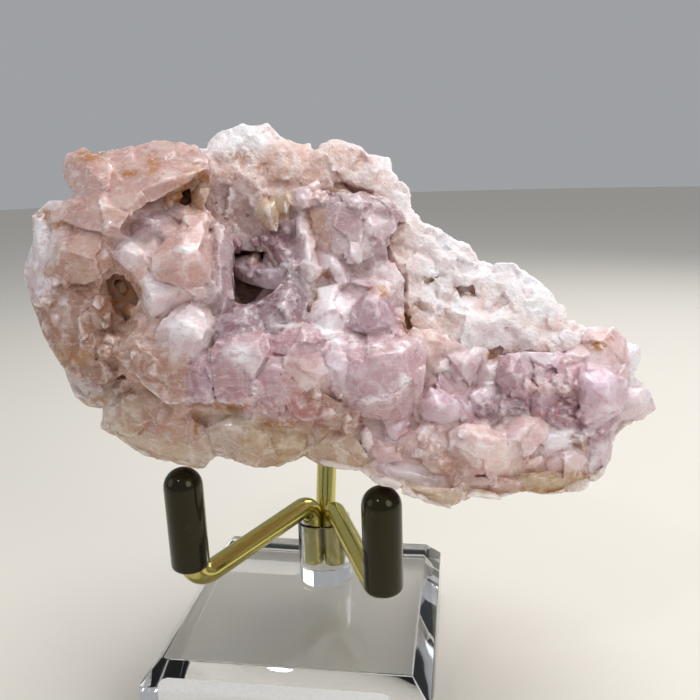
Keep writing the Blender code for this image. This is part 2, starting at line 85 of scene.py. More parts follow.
class Tint(Enum):
    """The colours that the crystals and the rind grew in."""

    ROSE = (0.58, 0.38, 0.41)
    PINK = (0.61, 0.40, 0.34)
    MAUVE = (0.48, 0.31, 0.36)
    DEEP = (0.52, 0.24, 0.22)
    LILAC = (0.76, 0.64, 0.71)
    ORCHID = (0.76, 0.59, 0.69)
    PEACH = (0.84, 0.66, 0.60)
    SHELL = (0.73, 0.51, 0.44)
    BLUSH = (0.80, 0.63, 0.61)
    FROST = (0.77, 0.67, 0.69)
    WHITE = (0.82, 0.74, 0.75)
    SNOW = (0.95, 0.95, 0.99)
    DUSK = (0.50, 0.37, 0.38)
    SMOKE = (0.30, 0.20, 0.23)
    SAND = (0.54, 0.34, 0.25)
    CLAY = (0.42, 0.23, 0.14)
    BEIGE = (0.56, 0.41, 0.25)
    STONE = (0.60, 0.50, 0.39)
    GREY = (0.48, 0.40, 0.38)
    HONEY = (0.50, 0.35, 0.17)
    BROWN = (0.36, 0.21, 0.13)


class Wire:
    """A value in a shader, with the arithmetic that its nodes do."""

    def __init__(self, paint: "Paint", socket: bpy.types.NodeSocket) -> None:
        """Wraps one output socket of the paint's node tree."""
        self.paint = paint
        self.socket = socket

    def _math(self, operation: str, first: Any, second: Any) -> "Wire":
        """Adds one Math node."""
        return self.paint.node("Math", {"operation": operation}, {0: first, 1: second})

    def __add__(self, other: Any) -> "Wire":
        """Adds."""
        return self._math("ADD", self, other)

    __radd__ = __add__

    def __sub__(self, other: Any) -> "Wire":
        """Subtracts the other from this."""
        return self._math("SUBTRACT", self, other)

    def __rsub__(self, other: Any) -> "Wire":
        """Subtracts this from the other."""
        return self._math("SUBTRACT", other, self)

    def __mul__(self, other: Any) -> "Wire":
        """Multiplies."""
        return self._math("MULTIPLY", self, other)

    __rmul__ = __mul__

    def span(self, low: float, high: float, start: float = 0.0, end: float = 1.0) -> "Wire":
        """This value carried from low..high to start..end, with its ends held.

        Args:
            low: the value that becomes start.
            high: the value that becomes end.
            start: the result at low.
            end: the result at high.

        Returns:
            The new value.
        """
        inputs = {"Value": self, "From Min": low, "From Max": high, "To Min": start, "To Max": end}
        return self.paint.node("MapRange", {"interpolation_type": "SMOOTHSTEP"}, inputs)


class Paint:
    """The node tree of one material."""

    def __init__(self, name: str, constants: dict[str, Any]) -> None:
        """Makes a Principled material.

        Args:
            name: the material's name.
            constants: the values of the shader's own sockets.
        """
        self.material = bpy.data.materials.new(name)
        self.material.use_nodes = True
        self.tree = self.material.node_tree
        self.shader = self.tree.nodes["Principled BSDF"]
        for socket, value in constants.items():
            self.shader.inputs[socket].default_value = value

    def node(self, kind: str, settings: dict[str, Any], inputs: dict[Any, Any], output: Any = 0) -> Wire:
        """Adds any node.

        Args:
            kind: the node's type, without its ShaderNode prefix.
            settings: properties set before the sockets.
            inputs: socket name or number to a value or a wire.
            output: the name or number of the socket to return.

        Returns:
            The wire that leaves the output socket.
        """
        node = self.tree.nodes.new("ShaderNode" + kind)
        for key, value in settings.items():
            setattr(node, key, value)
        for key, value in inputs.items():
            self.feed(node.inputs[key], value)
        return Wire(self, node.outputs[output])

    def feed(self, socket: bpy.types.NodeSocket, value: Any) -> None:
        """Links a wire to a socket, or sets the socket to a value.

        Args:
            socket: the socket.
            value: a wire, a number or a colour.
        """
        if isinstance(value, Wire):
            self.tree.links.new(value.socket, socket)
        elif isinstance(value, tuple) and socket.type == "RGBA":
            socket.default_value = (*value, 1.0)
        else:
            socket.default_value = value

    def set(self, socket: str, value: Wire) -> None:
        """Feeds one socket of the Principled shader."""
        self.feed(self.shader.inputs[socket], value)

    def place(self, stretch: Triple = (1.0, 1.0, 1.0)) -> Wire:
        """The point of the surface, in millimetres.

        Args:
            stretch: how much faster it runs along each axis.

        Returns:
            The point.
        """
        point = self.node("TexCoord", {}, {}, "Object")
        scale = tuple(s / MM for s in stretch)
        return self.node("VectorMath", {"operation": "MULTIPLY"}, {0: point, 1: scale})

    def noise(self, scale: float, detail: float = 3.0, stretch: Triple = (1.0, 1.0, 1.0)) -> Wire:
        """Smooth noise, about 0 to 1, with scale features to the millimetre."""
        inputs = {"Vector": self.place(stretch), "Scale": scale, "Detail": detail, "Roughness": 0.6}
        return self.node("TexNoise", {}, inputs)

    def bent(self, scale: float, reach: float) -> Wire:
        """The point of the surface, pushed about by noise.

        Args:
            scale: features of the noise to the millimetre.
            reach: how far it pushes, in millimetres.

        Returns:
            The point.
        """
        push = self.node("TexNoise", {}, {"Vector": self.place(), "Scale": scale, "Detail": 3.0}, "Color")
        push = self.node("VectorMath", {"operation": "MULTIPLY"}, {0: push, 1: (reach, reach, reach)})
        return self.node("VectorMath", {"operation": "ADD"}, {0: self.place(), 1: push})

    def facets(self, scale: float) -> Wire:
        """A value of its own for each way that the surface faces."""
        way = self.node("TexCoord", {}, {}, "Normal")
        return self.node("TexNoise", {}, {"Vector": way, "Scale": scale, "Detail": 1.0})

    def cells(self, scale: float, feature: str = "F1", output: str = "Distance") -> Wire:
        """Cells of a Voronoi pattern, with scale cells to the millimetre."""
        inputs = {"Vector": self.place(), "Scale": scale}
        return self.node("TexVoronoi", {"feature": feature}, inputs, output)

    def attribute(self, name: str, output: str = "Fac") -> Wire:
        """A value or a colour that the mesh carries."""
        return self.node("Attribute", {"attribute_name": name}, {}, output)

    def mix(self, share: Any, first: Any, second: Any, blend: str = "MIX") -> Wire:
        """Mixes two colours.

        Args:
            share: how much of the second, 0 to 1.
            first: a colour or a wire.
            second: a colour or a wire.
            blend: the way of mixing.

        Returns:
            The mixed colour.
        """
        settings = {"data_type": "RGBA", "blend_type": blend}
        return self.node("Mix", settings, {0: share, 6: first, 7: second}, 2)

    def layers(self, colour: Any, *coats: tuple[Any, Any]) -> Any:
        """Lays coats over a colour, one after the other.

        Args:
            colour: the ground, a colour or a wire.
            coats: the share and the tone of each coat.

        Returns:
            The colour with its coats.
        """
        for share, tone in coats:
            colour = self.mix(share, colour, tone)
        return colour

    def bump(self, height: Any, depth: float, under: Wire | None = None) -> Wire:
        """A bump as deep as depth millimetres for a height of one.

        Args:
            height: the wire that holds the height.
            depth: millimetres for a height of one.
            under: a normal that this bump is laid over.

        Returns:
            The bent normal.
        """
        inputs = {"Height": height, "Strength": 1.0, "Distance": depth * MM}
        if under is not None:
            inputs["Normal"] = under
        return self.node("Bump", {}, inputs)


@dataclass
class Lattice:
    """A block of sample points in the stone's sight space: x, depth away from the eye, z."""

    low: Triple
    high: Triple
    step: float
    axes: list[np.ndarray] = field(init=False)

    def __post_init__(self) -> None:
        """Lays out the points along each axis."""
        self.axes = [np.arange(a, b, self.step, dtype=np.float32) for a, b in zip(self.low, self.high)]

    @property
    def shape(self) -> tuple[int, ...]:
        """How many points lie along each axis."""
        return tuple(len(axis) for axis in self.axes)

    def window(self, low: Sequence[float], high: Sequence[float]) -> tuple[slice, ...]:
        """The slices that cover the box from low to high.

        Args:
            low: the box's lowest corner.
            high: the box's highest corner.

        Returns:
            One slice for each axis, cut off at the lattice's ends.
        """
        starts = [int(max(0, math.floor((a - b) / self.step))) for a, b in zip(low, self.low)]
        ends = [int(max(0, math.ceil((a - b) / self.step) + 1)) for a, b in zip(high, self.low)]
        return tuple(slice(min(s, n), min(e, n)) for s, e, n in zip(starts, ends, self.shape))

    def lines(self, window: tuple[slice, ...]) -> tuple[np.ndarray, np.ndarray, np.ndarray]:
        """The coordinates of a window, shaped to spread over its three axes."""
        x, y, z = (axis[part] for axis, part in zip(self.axes, window))
        return x[:, None, None], y[None, :, None], z[None, None, :]

    def everywhere(self) -> tuple[np.ndarray, np.ndarray, np.ndarray]:
        """The coordinates of the whole block, shaped to spread over its three axes."""
        return self.lines((slice(None),) * 3)

    def sights(self) -> tuple[np.ndarray, np.ndarray]:
        """The x and the z of every line of sight through the block."""
        x, _, z = self.everywhere()
        return np.broadcast_arrays(x[:, 0, :], z[:, 0, :])

    def noise(self, size: float, seed: int) -> np.ndarray:
        """Smooth noise with a spread of one over the whole block.

        Args:
            size: how far apart its random values lie, in millimetres.
            seed: what the random values are drawn from.

        Returns:
            One value for each point.
        """
        rng = np.random.default_rng(seed)
        counts = [int((b - a) / size) + 5 for a, b in zip(self.low, self.high)]
        values = rng.standard_normal(counts).astype(np.float32)
        for number, axis in enumerate(self.axes):
            t = (axis - axis[0]) / size
            base = np.floor(t).astype(int)
            f = t - base
            weights = ((1 - f) ** 3, 3 * f**3 - 6 * f**2 + 4, -3 * f**3 + 3 * f**2 + 3 * f + 1, f**3)
            spread = np.zeros((len(axis), counts[number]), np.float32)
            for k, weight in enumerate(weights):
                spread[np.arange(len(axis)), base + k] = weight / 6
            values = np.moveaxis(np.tensordot(spread, values, axes=(1, number)), 0, number)
        return values * NOISE_GAIN


class Carving:
    """A solid held as depths below its skin, with the piece and the facet that each point belongs to.

    A chiselled facet may stand out by GROWTH of what it may cut away. A crisp skin feels the slope
    CRISP_FEEL steps about each crossing, is held to the cell's middle by CRISP_HOLD, and moves no
    point more than CRISP_REACH steps.
    """

    GROWTH = 0.3
    CRISP_FEEL = 0.45
    CRISP_HOLD = 0.12
    CRISP_REACH = 0.6

    def __init__(self, lattice: Lattice) -> None:
        """Starts with nothing but air.

        Args:
            lattice: where its points are.
        """
        self.lattice = lattice
        self.values = np.full(lattice.shape, OPEN_AIR, np.float32)
        self.owner = np.zeros(lattice.shape, np.int16)
        self.facet = np.zeros(lattice.shape, np.int16)

    def _inside(self, planes: np.ndarray, window: tuple[slice, ...]) -> np.ndarray:
        """How far each point of a window lies outside a convex solid.

        Args:
            planes: rows of a unit normal and its distance from the origin.
            window: which points.

        Returns:
            One distance for each point; inside it is below nought.
        """
        x, y, z = self.lattice.lines(window)
        worst = None
        for a, b, c, reach in planes.astype(np.float32):
            side = (a * x + (b * y - reach)) + c * z
            worst = side if worst is None else np.maximum(worst, side, out=worst)
        return worst

    def grow(self, planes: np.ndarray, low: Sequence[float], high: Sequence[float], owner: int = 0) -> None:
        """Joins a convex piece.

        Args:
            planes: rows of a unit normal and its distance from the origin.
            low: the lowest corner of the piece's box.
            high: the highest corner of the piece's box.
            owner: the piece's number.
        """
        window = self.lattice.window(low, high)
        if min(part.stop - part.start for part in window) < 2:
            return
        worst = self._inside(planes, window)
        part = self.values[window]
        closer = worst < part
        part[closer] = worst[closer]
        self.owner[window][closer] = owner

    def cut(self, planes: np.ndarray, low: Sequence[float], high: Sequence[float]) -> None:
        """Takes a convex piece away.

        Args:
            planes: rows of a unit normal and its distance from the origin.
            low: the lowest corner of the piece's box.
            high: the highest corner of the piece's box.
        """
        window = self.lattice.window(low, high)
        part = self.values[window]
        np.maximum(part, -self._inside(planes, window), out=part)

    def chisel(self, points: np.ndarray, facets: np.ndarray, lifts: np.ndarray, depths: np.ndarray,
               reach: float) -> None:
        """Gives the skin round each point its own facets.

        Args:
            points: the middles.
            facets: the unit normals of the facets that meet over each middle.
            lifts: how far they stand above each middle.
            depths: how far the skin may be cut back round each middle.
            reach: how far from its middle a facet may go.
        """
        nearest = np.full(self.values.shape, reach**2, np.float32)
        level = np.zeros(self.values.shape, np.float32)
        allowed = np.zeros(self.values.shape, np.float32)
        for number, (point, normals, lift, depth) in enumerate(zip(points, facets, lifts, depths)):
            window = self.lattice.window(point - reach, point + reach)
            x, y, z = (line - at for line, at in zip(self.lattice.lines(window), point.astype(np.float32)))
            apart = x * x + y * y + z * z
            part = nearest[window]
            closer = apart < part
            part[closer] = apart[closer]
            self.facet[window][closer] = number % CHANCES
            sides = [(a * x + b * y) + c * z for a, b, c in normals.astype(np.float32)]
            level[window][closer] = (np.maximum.reduce(sides) - np.float32(lift))[closer]
            allowed[window][closer] = depth
        reached = nearest < reach**2
        old, most = self.values[reached], allowed[reached]
        self.values[reached] = np.clip(level[reached], old - self.GROWTH * most, old + most)

    def sample(self, grid: np.ndarray, points: np.ndarray) -> np.ndarray:
        """Reads a grid between the lattice's points.

        Args:
            grid: one value for each point of the lattice.
            points: where to read it.

        Returns:
            One value for each place.
        """
        steps = (points - np.array(self.lattice.low)) / self.lattice.step
        limit = np.array(grid.shape) - 2
        base = np.clip(np.floor(steps).astype(int), 0, limit)
        part = np.clip(steps - base, 0, 1)
        total = np.zeros(len(points))
        for corner in np.ndindex(2, 2, 2):
            weight = np.prod([part[:, k] if c else 1 - part[:, k] for k, c in enumerate(corner)], axis=0)
            total += weight * grid[tuple((base + corner).T)]
        return total

    def nearest(self, grid: np.ndarray, points: np.ndarray) -> np.ndarray:
        """The grid's value at the lattice point next to each point."""
        steps = np.rint((points - np.array(self.lattice.low)) / self.lattice.step).astype(int)
        return grid[tuple(np.clip(steps, 0, np.array(self.lattice.shape) - 1).T)]

    def skin(self, crisp: bool = False) -> "Skin":
        """The closed surface where the depth is nought, one point to each cell that it passes.

        Args:
            crisp: whether the points are drawn to the edges where facets meet.

        Returns:
            The points, in sight space, and the four-sided faces between them.
        """
        v = self.values
        for axis in range(3):
            for end in (0, -1):
                layer = np.moveaxis(v, axis, 0)[end]
                np.maximum(layer, self.lattice.step / 2, out=layer)
        counts = np.array(v.shape) - 1
        strides = np.array((counts[1] * counts[2], counts[2], 1))
        quads, crossings = [], []
        for axis in range(3):
            u, w = (axis + 1) % 3, (axis + 2) % 3
            solid = np.moveaxis(v < 0, axis, 0)
            at = np.argwhere(np.moveaxis(solid[:-1] != solid[1:], 0, axis))
            step, cell_u, cell_w = np.eye(3, dtype=int)[[axis, u, w]]
            here, there = v[tuple(at.T)], v[tuple((at + step).T)]
            point = at + step * (here / (here - there))[:, None]
            around = [(at - a * cell_u - b * cell_w) @ strides for a, b in ((1, 1), (0, 1), (0, 0), (1, 0))]
            quad = np.stack(around, axis=1)
            quad[here >= 0] = quad[here >= 0][:, ::-1]
            quads.append(quad)
            crossings.append(point)
        quads = np.concatenate(quads)
        single = np.concatenate(crossings)
        crossings = np.repeat(single, 4, axis=0)
        cells, corner = np.unique(quads.ravel(), return_inverse=True)
        corner = corner.ravel()
        shares = np.bincount(corner)
        points = np.stack([np.bincount(corner, crossings[:, k]) / shares for k in range(3)], axis=1)
        if crisp:
            places = single * self.lattice.step + np.array(self.lattice.low)
            ways = np.repeat(self.slope(places, self.CRISP_FEEL), 4, axis=0)
            away = ((crossings - points[corner]) * ways).sum(axis=1)
            pull = np.stack([np.bincount(corner, ways[:, k] * away) for k in range(3)], axis=1)
            pairs = [ways[:, k // 3] * ways[:, k % 3] for k in range(9)]
            grip = np.stack([np.bincount(corner, pair) for pair in pairs], axis=1)
            grip = grip.reshape(-1, 3, 3) + self.CRISP_HOLD * np.eye(3)
            moves = np.linalg.solve(grip, pull[:, :, None])[:, :, 0]
            points += np.clip(moves, -self.CRISP_REACH, self.CRISP_REACH)
        return Skin(points * self.lattice.step + np.array(self.lattice.low), corner.reshape(-1, 4))

    def slope(self, points: np.ndarray, steps: float = 0.7) -> np.ndarray:
        """The direction out of the solid at each point.

        Args:
            points: where to feel it.
            steps: how far about each point, in steps of the lattice.

        Returns:
            One unit vector for each point.
        """
        reach = self.lattice.step * steps
        parts = []
        for k in range(3):
            move = np.zeros(3)
            move[k] = reach
            parts.append(self.sample(self.values, points + move) - self.sample(self.values, points - move))
        direction = np.stack(parts, axis=1)
        return direction / (np.linalg.norm(direction, axis=1, keepdims=True) + 1e-9)


class Skin(NamedTuple):
    """Points and four-sided faces of a closed surface."""

    points: np.ndarray
    faces: np.ndarray


# The stone's outline as it is seen, clockwise from the horn at the upper left
OUTLINE = (
    (-43.9, 28.7), (-43.3, 30), (-40.5, 31.4), (-38.8, 30.6), (-35, 30.8), (-31.5, 31.8), (-28, 32.3),
    (-24.5, 31.6), (-22, 31.8), (-19.5, 33.8), (-16, 34.8), (-14.5, 34.4), (-12.5, 35.2), (-11, 34),
    (-8, 32.4), (-5, 31.9), (-2, 32.3), (2, 31.1), (3, 30), (6, 29.6), (6.7, 27.6), (9, 25), (10.2, 22),
    (11.2, 20.4), (13, 19.2), (15.3, 18), (18.5, 16.3), (20, 14), (25, 13.7), (28, 11.4), (30.5, 9.9),
    (33.5, 7.4), (35, 5), (36.5, 3.8), (40.5, 3.9), (42.2, 1.6), (44.3, 0.7), (44.8, -1.5), (43.9, -3.8),
    (46, -6.5), (47.2, -9), (45, -11), (41.5, -12.8), (40.5, -15.5), (39, -19), (36, -21.5), (31, -22.5),
    (25, -22.2), (23, -22.9), (18.5, -22.5), (16, -24.4), (13, -24), (8.5, -22.3), (4, -20.6), (1.5, -18.6),
    (-1, -18.3), (-4, -18), (-7, -16.2), (-10, -17.8), (-14.5, -18.1), (-18, -16.8), (-20.5, -16.3),
    (-22.5, -18.4), (-27, -17.3), (-31.5, -16.3), (-35, -13.7), (-38.2, -12), (-37.7, -9), (-40, -8.6),
    (-42, -7.2), (-43.7, -3), (-46.5, 1.5), (-48.3, 6.2), (-50, 11), (-49.5, 14.5), (-48.4, 16.5),
    (-48.6, 20.5), (-46, 22.8), (-43, 23), (-42.3, 24), (-43.9, 26.5),
)

# How near the eye the rim and the rind's front stand: (x, z, toward)
RIM_MARKS = (
    (-43, 29, 6), (-31, 31.8, 3), (-16, 34.8, 0), (-2, 32, 1), (10, 22, 1), (20, 15, 1), (30, 10, 2.5),
    (41, 3, 4), (44, -2, 3.5), (47, -9, 5), (40, -17, 7.5), (31, -22.5, 10), (18, -23, 12.5),
    (8, -22, 12.5), (-1, -18, 11.5), (-10, -17.8, 9), (-22, -17.5, 7), (-36, -13, 5), (-41, -8, 4),
    (-47, 2, 3), (-50, 12, 3), (-48, 20, 5.5),
)
FRONT_MARKS = (
    (-40, 27, 5), (-30, 29, 4), (-30, 24, 5), (-45, 16, 7), (-47, 9, 5), (-42, 4, 7.5), (-40, -4, 6),
    (-34, 15, 7), (-34, 7, 9.2), (-35, 9.8, 9.6), (-27, 14, 8), (-33, -2, 7), (-27, 3, 10), (-36, -10, 7),
    (-30, -12, 8.6), (-24, -13, 9.4), (-22, 22, 4), (-17, 31, 3.5), (-14, 26, 4.5), (-8, 29, 5),
    (0, 28, 5.5), (6.5, 25, 6), (9.4, 20, 5.4), (-20, 13, 5), (-15, 11, 3), (-6, 20, 5), (2, 17, 5),
    (6, 12, 6), (-8, 12, 6), (-17, 0, 12), (-6, -2, 13), (4, -3, 13), (3, 6, 10), (-17, -12.5, 10.6),
    (-10, -13, 11.2), (-2, -14, 12), (3, -16, 12.6), (9, -18, 12.6), (15, -21, 12.8), (11, 4, 7),
    (14, 11, 5), (12, 17, 4.4), (22, 9, 5), (30, 5, 6), (33, 1.4, 7), (18, 2, 7.4), (22, 1.4, 7.2),
    (27, 1, 7.2), (13, -8, 10), (20, -8, 8), (20, -15, 10.5), (26, -20, 10.6), (27, -13, 9), (25, -5, 7.6),
    (32, -9, 7), (34, -18, 8.6), (38, -6, 8), (38, 1, 6), (43, -1, 4.5), (44, -8, 5.5), (38, -15, 7.5),
)


class Shard(NamedTuple):
    """A crystal or a faceted lump: its colour, its corners as seen, (x, z, toward), and its depth."""

    tint: Tint
    corners: tuple[Triple, ...]
    root: float = 6.0


